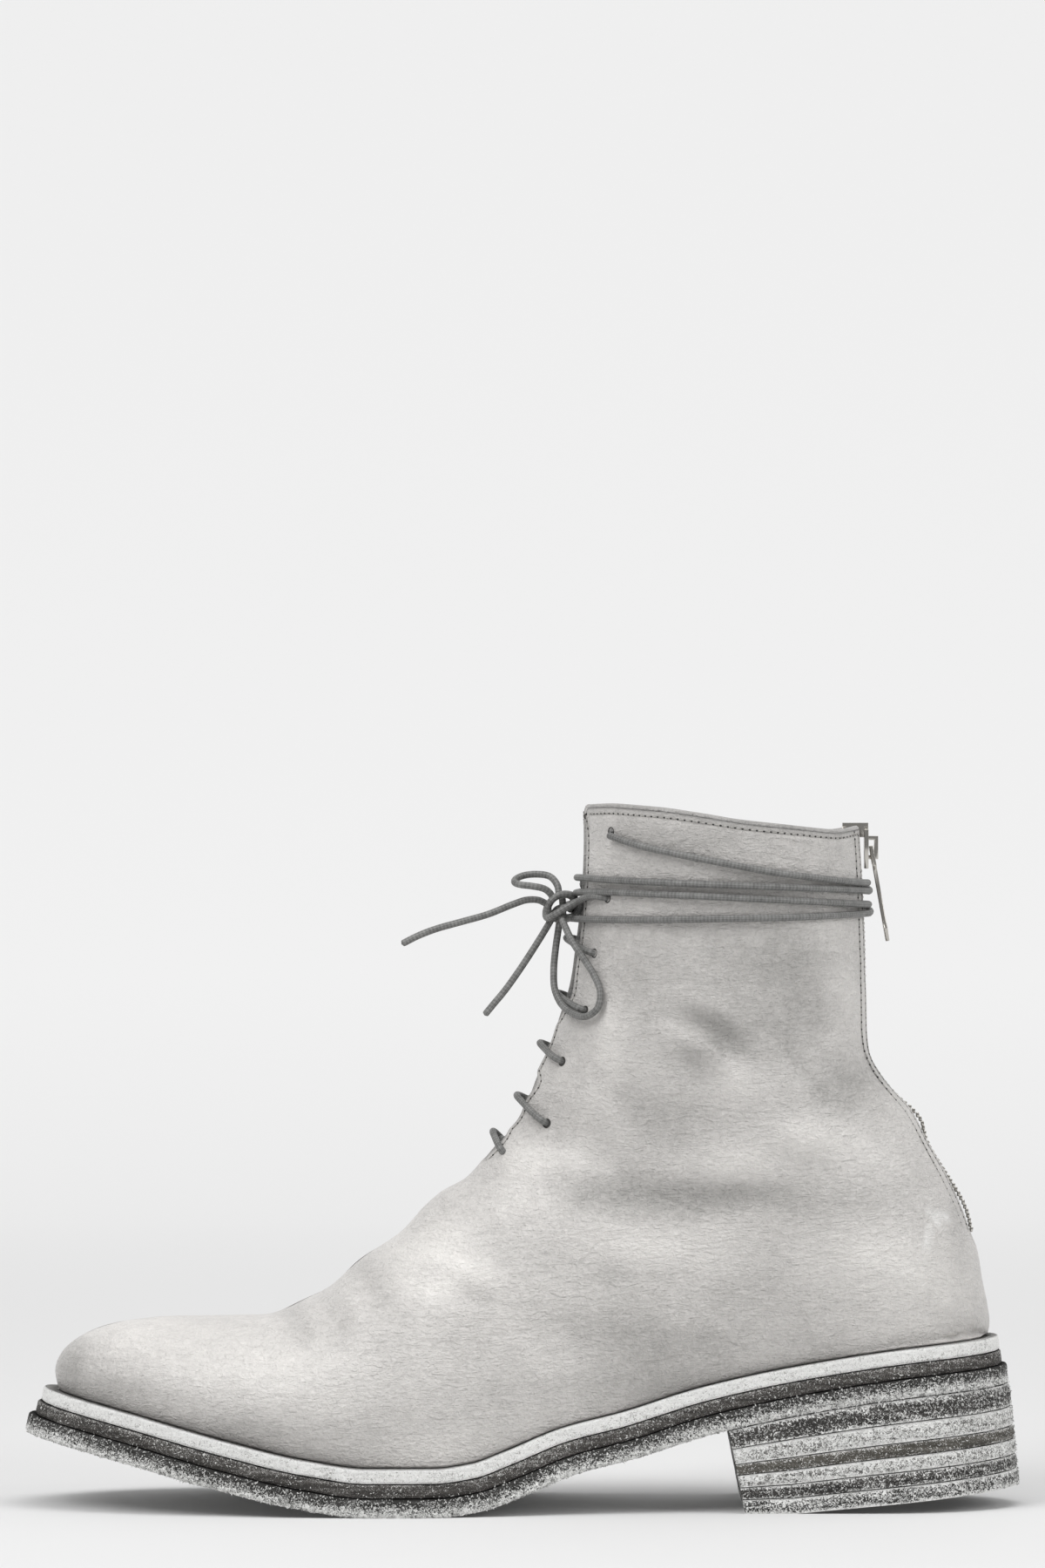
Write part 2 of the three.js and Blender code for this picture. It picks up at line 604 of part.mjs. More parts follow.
// The throat's slit, cut through the front of the upper only
function throatCutter() {
  const first = THROAT[0].at;
  const last = THROAT[THROAT.length - 1].at;
  const side = [];
  for (let k = 0; k <= THROAT_STEPS; k += 1) {
    const at = mix(first, last, (k / THROAT_STEPS) ** 2);
    side.push(new THREE.Vector2(valueAt(THROAT, 'half', at) * BALL_WIDTH, at * BOOT_HEIGHT));
  }
  const far = side.slice(1).reverse().map((point) => new THREE.Vector2(-point.x, point.y));
  const shape = new THREE.Shape([...side, ...far]);
  const middle = (frontLine.getPointAt(1).x + backPoint(1).x) / 2;
  return asSolid(alongX(shape, frontLine.getPointAt(TONGUE_START).x - LEATHER_WALL, middle));
}

// The slit for the zip, from its lower stop up through the collar
const ZIP_START = 0.18;

function zipCutter() {
  const half = ZIP_SLIT / 2;
  const foot = backPoint(ZIP_START).z;
  const shape = new THREE.Shape();
  shape.moveTo(half, BOOT_HEIGHT + half);
  shape.lineTo(-half, BOOT_HEIGHT + half);
  shape.lineTo(-half, foot + half);
  shape.absarc(0, foot + half, half, Math.PI, Math.PI * 2, false);
  shape.closePath();
  const middle = (frontLine.getPointAt(1).x + backPoint(1).x) / 2;
  return asSolid(alongX(shape, middle, heelFeather.x + LEATHER_WALL * 2));
}

// A turn on the upper for a share of the way back along a section
function turnFor(front, back) {
  const belly = valueAt(SECTIONS, 'belly', front);
  return BELLY_TURN * Math.acos(1 - back / belly) / (Math.PI / 2);
}

const eyelets = EYELETS.map((hole) => ({ at: hole.at, turn: turnFor(hole.at, hole.back) }));

function eyeletCutter(hole, side) {
  const outside = underSkin(hole.at, hole.turn * side, -LEATHER_WALL);
  const inside = underSkin(hole.at, hole.turn * side, 2 * LEATHER_WALL);
  const axis = outside.clone().sub(inside);
  const punch = new THREE.CylinderGeometry(EYELET_RADIUS, EYELET_RADIUS, axis.length(), 8);
  punch.applyQuaternion(new THREE.Quaternion().setFromUnitVectors(
    new THREE.Vector3(0, 1, 0), axis.clone().normalize()));
  const centre = outside.add(inside).multiplyScalar(0.5);
  return asSolid(punch.translate(centre.x, centre.y, centre.z));
}

function makeUpper() {
  let upper = makeUpperWall().subtract(throatCutter()).subtract(zipCutter());
  for (const hole of eyelets) {
    for (const side of [-1, 1]) upper = upper.subtract(eyeletCutter(hole, side));
  }
  return upper;
}

// A curved sheet of even thickness: place(i, j, depth) gives a point, on a grid of rows and columns
function curvedSheet(rows, columns, outerDepth, innerDepth, place) {
  const points = [];
  for (let i = 0; i <= rows; i += 1) {
    for (let j = 0; j <= columns; j += 1) {
      points.push(place(i, j, outerDepth).toArray(), place(i, j, innerDepth).toArray());
    }
  }
  const face = (i, j) => (i * (columns + 1) + j) * 2;
  const back = (i, j) => face(i, j) + 1;
  const quads = [];
  for (let i = 0; i < rows; i += 1) {
    for (let j = 0; j < columns; j += 1) {
      quads.push([face(i, j), face(i + 1, j), face(i + 1, j + 1), face(i, j + 1)]);
      quads.push([back(i, j), back(i, j + 1), back(i + 1, j + 1), back(i + 1, j)]);
    }
    quads.push([face(i, 0), back(i, 0), back(i + 1, 0), face(i + 1, 0)]);
    quads.push([face(i, columns), face(i + 1, columns), back(i + 1, columns), back(i, columns)]);
  }
  for (let j = 0; j < columns; j += 1) {
    quads.push([face(0, j), face(0, j + 1), back(0, j + 1), back(0, j)]);
    quads.push([face(rows, j), back(rows, j), back(rows, j + 1), face(rows, j + 1)]);
  }
  return asSolid(quadMesh(points, quads));
}

function makeTongue() {
  const between = SECTION_PLACES.filter((front) => front > TONGUE_START && front < TONGUE_END);
  const rows = [TONGUE_START, ...between, TONGUE_END];
  const depth = LEATHER_WALL + 1.5 * GAP;
  return curvedSheet(rows.length - 1, 2 * TONGUE_FACES, depth, depth + TONGUE_THICKNESS, (i, j, under) => (
    underSkin(rows[i], BELLY_TURN * (j - TONGUE_FACES) / FRONT_FACES, under)));
}

// Laces. The clearance keeps a lace off the upper where its faces are flat between sections.
const LACE_RADIUS = LACE_DIAMETER / 2;
const LACE_LIFT = LACE_RADIUS + 1.5 * GAP;
const LACE_SIDES = 8;

function laceTube(points, steps) {
  const section = [];
  for (let k = 0; k < LACE_SIDES; k += 1) {
    const angle = 2 * Math.PI * k / LACE_SIDES;
    section.push(new THREE.Vector2(LACE_RADIUS * Math.cos(angle), LACE_RADIUS * Math.sin(angle)));
  }
  const extrudePath = new THREE.CatmullRomCurve3(points, false, 'centripetal');
  return asSolid(new THREE.ExtrudeGeometry(new THREE.Shape(section), { steps, extrudePath }));
}

// Each crossing has a strand from either hole, over the front line and down to the facing opposite
const CROSSING_TOP = 0.33;
const CROSSING_END = 0.48;
const FACING_TURN = 0.075;
const CROSSING_STEPS = 5;

function makeCrossing(row) {
  const hole = eyelets[row];
  const next = eyelets[row + 1];
  const strands = [-1, 1].map((side) => laceTube([
    underSkin(hole.at, hole.turn * side, -LACE_LIFT),
    underSkin(mix(hole.at, next.at, CROSSING_TOP / 2), hole.turn * side / 2, -LACE_LIFT),
    underSkin(mix(hole.at, next.at, CROSSING_TOP), 0, -LACE_LIFT),
    underSkin(mix(hole.at, next.at, CROSSING_END), -FACING_TURN * side, -LACE_LIFT),
  ], CROSSING_STEPS));
  return strands[0].add(strands[1]);
}

// The strands of the last crossing run from the holes below the collar's to the front line
const LAST_CROSSING_DROP = 0.0126;

function makeLastCrossing() {
  const hole = eyelets[eyelets.length - 2];
  const strands = [-1, 1].map((side) => laceTube([
    underSkin(hole.at - LAST_CROSSING_DROP / 3, hole.turn * side, -LACE_LIFT),
    underSkin(hole.at - LAST_CROSSING_DROP * 2 / 3, hole.turn * side / 2, -LACE_LIFT),
    underSkin(hole.at - LAST_CROSSING_DROP, 0, -LACE_LIFT),
  ], CROSSING_STEPS - 1));
  return strands[0].add(strands[1]);
}

// A point on a lace that is wound round the shaft: its turn, its height as a share of BOOT_HEIGHT and how far
// it stands off the lace's seat to pass over another run. The section is found that has this height there.
function onShaft([turn, height, lift]) {
  let low = 0.5;
  let high = 1;
  for (let step = 0; step < 24; step += 1) {
    const middle = (low + high) / 2;
    if (skin(middle, turn).z < height * BOOT_HEIGHT) low = middle;
    else high = middle;
  }
  return underSkin(low, turn, -LACE_LIFT - lift);
}

// The near run leaves the outer side's collar hole and goes twice round the shaft. It ends at the knot, at a
// place in X, Y and Z from the knot's middle.
const NEAR_RUN = [
  [-0.205, 0.9614, 0], [-0.3, 0.9471, 0], [-0.4, 0.9343, 0], [-0.5, 0.9219, 0], [-0.6, 0.9100, 0],
  [-0.7, 0.9019, 0], [-0.8, 0.8962, 0], [-0.9, 0.8929, 0], [1, 0.8919, 0], [0.9, 0.8910, 0],
  [0.75, 0.8895, 0], [0.6, 0.8876, 0], [0.5, 0.8862, 0], [0.4, 0.8843, 0], [0.3, 0.8824, 0],
  [0.2, 0.8805, 0], [0.1, 0.8786, 0], [0, 0.8771, 0], [-0.1, 0.8786, 0], [-0.2, 0.8800, 0],
  [-0.3, 0.8786, 0], [-0.4, 0.8767, 0], [-0.5, 0.8738, 0], [-0.65, 0.8690, 0], [-0.8, 0.8643, 0],
  [-0.9, 0.8619, 0], [1, 0.8610, 0], [0.9, 0.8610, 0], [0.75, 0.8605, 0], [0.6, 0.8600, 0],
  [0.45, 0.8600, 0], [0.33, 0.8595, 0.3], [0.25, 0.8595, 2.2], [0.16, 0.8590, 3], [0.08, 0.8586, 3.4],
];
const NEAR_RUN_END = [1.5, 2.9, 0.2];

// The far run leaves the inner side's collar hole, goes round the other way and passes over the near run
const FAR_RUN = [
  [0.205, 0.9614, 0], [0.3, 0.9471, 0], [0.4, 0.9343, 0], [0.5, 0.9219, 0], [0.6, 0.9100, 0],
  [0.68, 0.9024, 0.6], [0.75, 0.8962, 2.4], [0.82, 0.8900, 2.7], [0.88, 0.8852, 2.5], [0.94, 0.8814, 1.4],
  [1, 0.8800, 0.3], [-0.93, 0.8810, 0], [-0.8, 0.8838, 0], [-0.65, 0.8876, 0], [-0.5, 0.8914, 0],
  [-0.35, 0.8948, 0], [-0.2, 0.8976, 0], [-0.1, 0.8995, 0], [0, 0.8995, 0], [0.1, 0.8981, 0],
  [0.2, 0.8948, 0.2], [0.3, 0.8900, 2.1], [0.4, 0.8843, 2.7], [0.5, 0.8781, 2.2], [0.59, 0.8724, 1],
  [0.66, 0.8681, 1.9], [0.73, 0.8638, 2.6], [0.8, 0.8600, 2.7], [0.87, 0.8557, 2.4], [0.94, 0.8514, 1.4],
  [1, 0.8490, 0.2], [-0.93, 0.8486, 0], [-0.8, 0.8476, 0], [-0.65, 0.8452, 0], [-0.5, 0.8438, 0],
  [-0.35, 0.8414, 0], [-0.2, 0.8405, 0], [-0.1, 0.8400, 0.4], [-0.05, 0.8400, 1.4],
];
const FAR_RUN_END = [1.1, -1.9, -3.2];

// The bow: a knot in front of the throat, two loops and two ends, placed in X, Y and Z from the knot's middle
const KNOT_SEAT = [0, 0.8564, 0];
const KNOT_AHEAD = 4.4;
const LOOP_UP = [
  [-0.3, 0.7, 3.3], [-0.8, 2.6, 6.6], [-3, 4.4, 9.2], [-7, 5.6, 9.9], [-11, 5, 9.5],
  [-13.4, 2.6, 8.4], [-13.6, -0.4, 7.4], [-11.8, -2.8, 6.8], [-8.4, -3.7, 6.4], [-4.8, -3, 5.6],
  [-2.8, -1.9, 4], [-2.1, -1, 2.4],
];
const LOOP_DOWN = [
  [0, 1, -3.3], [-0.6, -0.2, -7.5], [-1.4, -2, -13], [-1.9, -4.2, -19], [-1.6, -7.4, -24.6],
  [0.4, -11.2, -29], [3.6, -15.2, -31.6], [7.8, -20.8, -32.4], [11.2, -23.4, -29.8], [12, -22.8, -25.2],
  [10.2, -19.8, -20.2], [7.2, -17, -15.4], [4.2, -14.8, -11], [2, -10.6, -6.8], [0.6, -7.2, -2.8],
  [1.3, -3.7, 0.5],
];
const END_LEFT = [
  [-3.4, 0.4, 0.6], [-6.4, 0, 2.1], [-10, -1, 2.2], [-13.9, -2.2, 1], [-21.8, -4.6, -2.1],
  [-29.7, -6.6, -4.3], [-37.6, -8.2, -6.5], [-42.8, -9, -8.5], [-47.8, -9.6, -11],
];
const END_DOWN = [
  [-2, -0.7, -2.6], [-4.2, -2, -6.4], [-8.2, -4, -12.8], [-12.6, -6, -19.4], [-16.8, -7.8, -25.2],
  [-20, -9.2, -29], [-22.8, -10.4, -32.4],
];

const knotMiddle = onShaft(KNOT_SEAT).add(new THREE.Vector3(-KNOT_AHEAD, 0, 0));
const fromKnot = (place) => new THREE.Vector3(...place).add(knotMiddle);

function makeKnot() {
  const knot = new THREE.SphereGeometry(KNOT_RADIUS, 12, 8);
  return asSolid(knot.translate(...knotMiddle.toArray()));
}

// A loop or an end has a few more steps than places, to bend smoothly
const BOW_EXTRA_STEPS = 2;

function makeBowPiece(places) {
  return laceTube(places.map(fromKnot), places.length + BOW_EXTRA_STEPS);
}

// The zip. A point on the back of the boot: up is a share of the back line, y is to the side
function onBack(up, y, depth) {
  let low = 0.6;
  let high = 1;
  for (let step = 0; step < 24; step += 1) {
    const middle = (low + high) / 2;
    if (valueAt(SECTIONS, 'end', middle) < 1 + up) low = middle;
    else high = middle;
  }
  const front = low;
  let near = BELLY_TURN;
  let far = 1;
  for (let step = 0; step < 24; step += 1) {
    const middle = (near + far) / 2;
    if (skin(front, middle).y > Math.abs(y)) near = middle;
    else far = middle;
  }
  return underSkin(front, y < 0 ? -near : near, depth);
}

const TAPE_DEPTH = LEATHER_WALL + 3 * GAP;
const TAPE_TOP = 0.985;
const TAPE_ROWS = 16;
const TAPE_COLUMNS = 6;
const sliderTop = backTop + SLIDER_PLATE / 2;
const sliderFoot = sliderTop - SLIDER_HEIGHT;
const sliderFace = backX(sliderFoot) + 2 * GAP;
const sliderBack = sliderFace - 2 * GAP - TAPE_DEPTH - ZIP_TAPE_THICKNESS - 3 * GAP;
const postFoot = sliderTop - SLIDER_HEIGHT / 4;

function boxSolid(x, y, z) {
  const box = new THREE.BoxGeometry(x[1] - x[0], y[1] - y[0], z[1] - z[0]);
  return asSolid(box.translate((x[0] + x[1]) / 2, (y[0] + y[1]) / 2, (z[0] + z[1]) / 2));
}

function makeTape() {
  const inner = TAPE_DEPTH + ZIP_TAPE_THICKNESS;
  const tape = curvedSheet(TAPE_ROWS, TAPE_COLUMNS, TAPE_DEPTH, inner, (i, j, depth) => (
    onBack(mix(ZIP_START, TAPE_TOP, i / TAPE_ROWS), ZIP_TAPE_WIDTH * (0.5 - j / TAPE_COLUMNS), depth)));
  const reach = BAIL_WIDTH / 2 + GAP;
  return tape.subtract(boxSolid([0, 2 * sliderFace], [-reach, reach], [postFoot - GAP, BOOT_HEIGHT * 1.1]));
}

// How far the chain stands out where the zip buckles: centres and half lengths are shares of the back line
const BUCKLES = [
  { at: 0.25, reach: 0.075 },
  { at: 0.42, reach: 0.035 },
];

function buckle(up) {
  return BUCKLES.reduce((most, fold) => {
    const away = Math.min(1, Math.abs(up - fold.at) / fold.reach);
    return Math.max(most, ZIP_BULGE * (1 - away ** 2));
  }, 0);
}

function makeChain() {
  const start = ZIP_START + ZIP_SLIT / 2 / (backTop - heelFeather.z);
  const end = (sliderFoot - GAP - heelFeather.z) / (backTop - heelFeather.z);
  const rows = 2 * Math.round((end - start) * (backTop - heelFeather.z) / ZIP_RIB_PITCH);
  const inner = TAPE_DEPTH - 2.5 * GAP;
  return curvedSheet(rows, 2, 0, inner, (i, j, depth) => {
    const up = mix(start, end, i / rows);
    const rib = i % 2 === 0 ? ZIP_RIB_HEIGHT : 0;
    return onBack(up, ZIP_CHAIN_WIDTH * (0.5 - j / 2), depth < inner ? rib - buckle(up) : inner);
  });
}

// The hinge of the pull tab, between the slider's outer plate and its bail
const hinge = { x: sliderFace + SLIDER_PLATE + GAP + PULL_WIRE / 2, z: sliderTop - SLIDER_HEIGHT / 2 };

// The slider's plates from the foot up: side as a share of half SLIDER_WIDTH, up as one of SLIDER_HEIGHT
const SLIDER_OUTLINE = [
  { side: 0.72, up: 0.00 },
  { side: 1.00, up: 0.60 },
  { side: 0.80, up: 0.93 },
  { side: 0.30, up: 1.00 },
];

function sliderPlate(from, to) {
  const half = SLIDER_WIDTH / 2;
  const right = SLIDER_OUTLINE.map(({ side, up }) => (
    new THREE.Vector2(half * side, mix(sliderFoot, sliderTop, up))));
  const left = right.map((point) => new THREE.Vector2(-point.x, point.y)).reverse();
  return asSolid(alongX(new THREE.Shape([...right, ...left]), from, to));
}

function makeSlider() {
  const half = BAIL_WIDTH / 2;
  const side = [-half, half];
  const bailIn = hinge.x + PULL_WIRE / 2 + GAP;
  const bailOut = bailIn + SLIDER_PLATE;
  const bailFoot = hinge.z - BAIL_HEIGHT / 2;
  const bailTop = hinge.z + BAIL_HEIGHT / 2;
  const faceOut = sliderFace + SLIDER_PLATE;
  const bite = SLIDER_PLATE / 4;
  const parts = [
    sliderPlate(sliderBack - SLIDER_PLATE, sliderBack),
    boxSolid([sliderBack - bite, sliderFace + bite], side, [postFoot, sliderTop]),
    boxSolid([faceOut - bite, bailOut], side, [bailFoot, bailFoot + SLIDER_PLATE]),
    boxSolid([faceOut - bite, bailOut], side, [bailTop - SLIDER_PLATE, bailTop]),
    boxSolid([bailIn, bailOut], side, [bailFoot, bailTop]),
    boxSolid([sliderBack - SLIDER_PLATE, faceOut], side, [sliderTop - bite, sliderTop + SLIDER_PLATE]),
  ];
  return parts.reduce((slider, part) => slider.add(part), sliderPlate(sliderFace, faceOut));
}

// The pull tab hangs from the hinge: a wire eye round the bail, a stem and a pointed drop, which starts and
// is widest at these shares of PULL_LENGTH
const DROP_START = 0.75;
const DROP_WIDEST = 0.86;

function makePull() {
  const eye = BAIL_WIDTH / 2 + GAP;
  const wide = eye + PULL_WIRE;
  const stem = BAIL_WIDTH / 2;
  const eyeFoot = -BAIL_HEIGHT / 2 - 5 * GAP;
  const bar = PULL_WIRE / 2;
  const armFoot = eyeFoot - bar;
  const stemTop = armFoot - PULL_WIRE;
  const tipTop = -PULL_LENGTH * DROP_START;
  const tipWide = -PULL_LENGTH * DROP_WIDEST;
  const shape = new THREE.Shape([
    new THREE.Vector2(-wide, bar), new THREE.Vector2(-wide, armFoot), new THREE.Vector2(-stem, stemTop),
    new THREE.Vector2(-stem, tipTop), new THREE.Vector2(-PULL_TIP_WIDTH / 2, tipWide),
    new THREE.Vector2(-PULL_WIRE / 4, -PULL_LENGTH), new THREE.Vector2(PULL_WIRE / 4, -PULL_LENGTH),
    new THREE.Vector2(PULL_TIP_WIDTH / 2, tipWide), new THREE.Vector2(stem, tipTop),
    new THREE.Vector2(stem, stemTop), new THREE.Vector2(wide, armFoot), new THREE.Vector2(wide, bar),
  ]);
  shape.holes.push(new THREE.Path([
    new THREE.Vector2(-eye, -bar), new THREE.Vector2(eye, -bar), new THREE.Vector2(eye, eyeFoot),
    new THREE.Vector2(-eye, eyeFoot),
  ]));
  return asSolid(alongX(shape, -bar, bar));
}

// The finished group: one named mesh for each piece
const boot = new THREE.Group();

function addPiece(parent, name, solid, color, roughness, metalness = 0) {
  const material = new THREE.MeshStandardMaterial({ color, roughness, metalness });
  const mesh = new THREE.Mesh(asGeometry(solid), material);
  mesh.name = name;
  parent.add(mesh);
}

addPiece(boot, 'outsole', makeOutsole(), 0x5f5e5c, 0.9);
addPiece(boot, 'midsole', makeMidsole(), 0x4c4a47, 0.7);
addPiece(boot, 'welt', makeWelt(), 0xd2d2d0, 0.85);
addPiece(boot, 'insole', makeInsole(), 0xa8a29a, 0.85);
for (const lift of HEEL_LIFTS) addPiece(boot, lift.name, makeLift(lift), lift.color, 0.9);
addPiece(boot, 'upper', makeUpper(), 0xc6c4c0, 0.45);
addPiece(boot, 'tongue', makeTongue(), 0x5a5a5a, 0.9);

const LACE_COLOR = 0x7c7c7b;
const RUN_STEPS = 64;
const laces = new THREE.Group();
for (let row = 0; row < eyelets.length - 2; row += 1) {
  addPiece(laces, `lace_crossing_${row + 1}`, makeCrossing(row), LACE_COLOR, 0.6);
}
addPiece(laces, `lace_crossing_${eyelets.length - 1}`, makeLastCrossing(), LACE_COLOR, 0.6);
const nearRun = [...NEAR_RUN.map(onShaft), fromKnot(NEAR_RUN_END)];
const farRun = [...FAR_RUN.map(onShaft), fromKnot(FAR_RUN_END)];
addPiece(laces, 'lace_run_near', laceTube(nearRun, RUN_STEPS), LACE_COLOR, 0.6);
addPiece(laces, 'lace_run_far', laceTube(farRun, RUN_STEPS), LACE_COLOR, 0.6);
addPiece(laces, 'lace_knot', makeKnot(), LACE_COLOR, 0.6);
addPiece(laces, 'lace_loop_up', makeBowPiece(LOOP_UP), LACE_COLOR, 0.6);
addPiece(laces, 'lace_loop_down', makeBowPiece(LOOP_DOWN), LACE_COLOR, 0.6);
addPiece(laces, 'lace_end_left', makeBowPiece(END_LEFT), LACE_COLOR, 0.6);
addPiece(laces, 'lace_end_down', makeBowPiece(END_DOWN), LACE_COLOR, 0.6);
boot.add(laces);

const METAL_COLOR = 0xc9c9c7;
addPiece(boot, 'zip_tape', makeTape(), 0xb4b3b0, 0.9);
addPiece(boot, 'zip_teeth', makeChain(), METAL_COLOR, 0.3, 1);
addPiece(boot, 'zip_slider', makeSlider(), METAL_COLOR, 0.25, 1);
const pull = new THREE.Group();
addPiece(pull, 'zip_pull', makePull(), METAL_COLOR, 0.25, 1);
pull.rotation.y = -THREE.MathUtils.degToRad(PULL_TILT);
pull.position.set(hinge.x, 0, hinge.z);
boot.add(pull);

// The origin lies on the floor, halfway between the toe and the back of the heel
const extent = new THREE.Box3().setFromObject(boot.getObjectByName('outsole'));
extent.expandByObject(boot.getObjectByName('top_lift'));
boot.position.x = -(extent.min.x + extent.max.x) / 2;

export default boot;
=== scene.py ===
"""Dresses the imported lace-up boot: leather, stitches, laces, zip and a dusted stacked sole.

The boot's surfaces are worked out in millimetres from the same tables as its solids, and turned to metres
when a mesh is made. X runs from toe to heel, Z up, and the outer side of the foot faces -Y.
"""

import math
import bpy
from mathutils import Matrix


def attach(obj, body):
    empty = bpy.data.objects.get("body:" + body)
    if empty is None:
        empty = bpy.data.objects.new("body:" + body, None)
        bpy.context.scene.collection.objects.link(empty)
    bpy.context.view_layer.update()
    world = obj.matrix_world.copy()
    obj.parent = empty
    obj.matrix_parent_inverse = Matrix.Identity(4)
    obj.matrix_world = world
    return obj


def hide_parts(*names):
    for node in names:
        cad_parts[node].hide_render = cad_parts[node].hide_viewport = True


bl_info = {
    "name": "Lace-up boot",
    "version": (1, 0, 0),
    "blender": (4, 5, 0),
    "location": "View3D > Sidebar > Boot",
    "description": "Makes the leather, laces, zip and sole of a lace-up ankle boot over its CAD frame",
    "category": "Object",
}

import bmesh
import bpy
import numpy as np
from bpy.props import FloatProperty, FloatVectorProperty, PointerProperty
from mathutils import Vector, noise

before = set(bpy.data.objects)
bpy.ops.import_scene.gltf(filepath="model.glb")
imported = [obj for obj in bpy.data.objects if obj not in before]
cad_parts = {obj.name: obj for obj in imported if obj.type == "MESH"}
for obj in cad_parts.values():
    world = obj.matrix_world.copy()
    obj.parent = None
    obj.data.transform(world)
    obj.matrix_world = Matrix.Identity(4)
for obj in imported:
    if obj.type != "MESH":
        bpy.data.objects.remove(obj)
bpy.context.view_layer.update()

MM = 0.001

# Sizes that the boot's solids are made from, in millimetres
SOLE_LENGTH = 297.0
BALL_WIDTH = 106.0
BOOT_HEIGHT = 210.0
TOE_SPRING = 22.0
HEEL_RISE = 37.0
HEEL_FLARE = 3.0
HEEL_WEAR = 6.3
OUTSOLE_THICKNESS = 5.5
MIDSOLE_THICKNESS = 3.9
WELT_THICKNESS = 4.2
WELT_REACH = 6.8
LEATHER_WALL = 2.2
EYELET_RADIUS = 1.6
LACE_DIAMETER = 2.1
ZIP_SLIT = 8.0
ZIP_START = 0.18
JOINT = 0.3
FEATHER_GAP = 0.55
MIDSOLE_SEAT = OUTSOLE_THICKNESS + JOINT
WELT_SEAT = MIDSOLE_SEAT + MIDSOLE_THICKNESS + JOINT
WELT_TOP = WELT_SEAT + WELT_THICKNESS
UPPER_SEAT = WELT_TOP + FEATHER_GAP
TOE_X = -(SOLE_LENGTH + HEEL_FLARE) / 2

# The finished solids stand this far to the left of their tables, to lie in the middle of their box
CENTRING = -0.2297


def table(names, *rows):
    """A table of named columns, each a numpy array."""
    data = np.array(rows, float)
    return {name: data[:, k] for k, name in enumerate(names.split())}


# The tread from toe to heel: its height as shares of the toe spring and of the heel rise
TREAD = table(
    "at toe heel",
    (0.00, 1.000, 0.000), (0.10, 0.700, 0.000), (0.20, 0.355, 0.000), (0.28, 0.120, 0.000),
    (0.35, 0.000, 0.000), (0.42, 0.000, 0.000), (0.465, 0.000, 0.045), (0.51, 0.000, 0.170),
    (0.56, 0.000, 0.330), (0.62, 0.000, 0.450), (0.70, 0.000, 0.645), (0.80, 0.000, 0.815),
    (0.90, 0.000, 0.935), (1.00, 0.000, 1.000),
)

# The sole seen from above: half widths and sideways swing, as shares of BALL_WIDTH
OUTLINE = table(
    "at outer inner swing",
    (0.00, 0.470, 0.490, 0.038), (0.20, 0.470, 0.495, 0.014), (0.28, 0.487, 0.500, 0.000),
    (0.38, 0.500, 0.470, 0.000), (0.48, 0.455, 0.390, 0.000), (0.58, 0.395, 0.325, 0.000),
    (0.68, 0.355, 0.312, 0.000), (0.78, 0.345, 0.332, 0.000), (0.87, 0.350, 0.350, 0.000),
    (1.00, 0.350, 0.350, 0.000),
)
TOE_ROUND = 0.27
HEEL_ROUND = 0.13

# How far each edge stands back from the outsole's, as shares of WELT_REACH
EDGES = table(
    "at outsole midsole welt feather",
    (0.00, 0.00, 0.26, 0.38, 1.00), (0.35, 0.00, 0.22, 0.30, 0.95),
    (0.60, 0.00, 0.18, 0.22, 0.60), (1.00, 0.00, 0.22, 0.28, 0.74),
)

# The front line from the toe to the collar, as shares of SOLE_LENGTH and of the upper's height
FRONT_LINE = table(
    "along up",
    (0.000, 0.000), (-0.003, 0.033), (0.004, 0.061), (0.019, 0.084), (0.035, 0.098), (0.057, 0.110),
    (0.101, 0.1205), (0.146, 0.123), (0.190, 0.125), (0.215, 0.1275), (0.252, 0.153), (0.279, 0.177),
    (0.307, 0.221), (0.349, 0.269), (0.373, 0.313), (0.390, 0.338), (0.416, 0.363), (0.430, 0.389),
    (0.445, 0.423), (0.468, 0.466), (0.477, 0.505), (0.487, 0.547), (0.499, 0.588), (0.5095, 0.642),
    (0.519, 0.690), (0.526, 0.766), (0.532, 0.858), (0.534, 0.930), (0.534, 1.000),
)

# The back line from the heel's feather edge to the collar
BACK_LINE = table(
    "at along",
    (0.000, 0.0000), (0.022, 0.0020), (0.055, 0.0000), (0.107, -0.0055), (0.157, -0.0095),
    (0.216, -0.0190), (0.316, -0.0410), (0.389, -0.0625), (0.444, -0.0770), (0.489, -0.0980),
    (0.520, -0.1100), (0.558, -0.1205), (0.611, -0.1230), (0.756, -0.1240), (0.862, -0.1260),
    (1.000, -0.1300),
)
BACK_DROP = 6.3

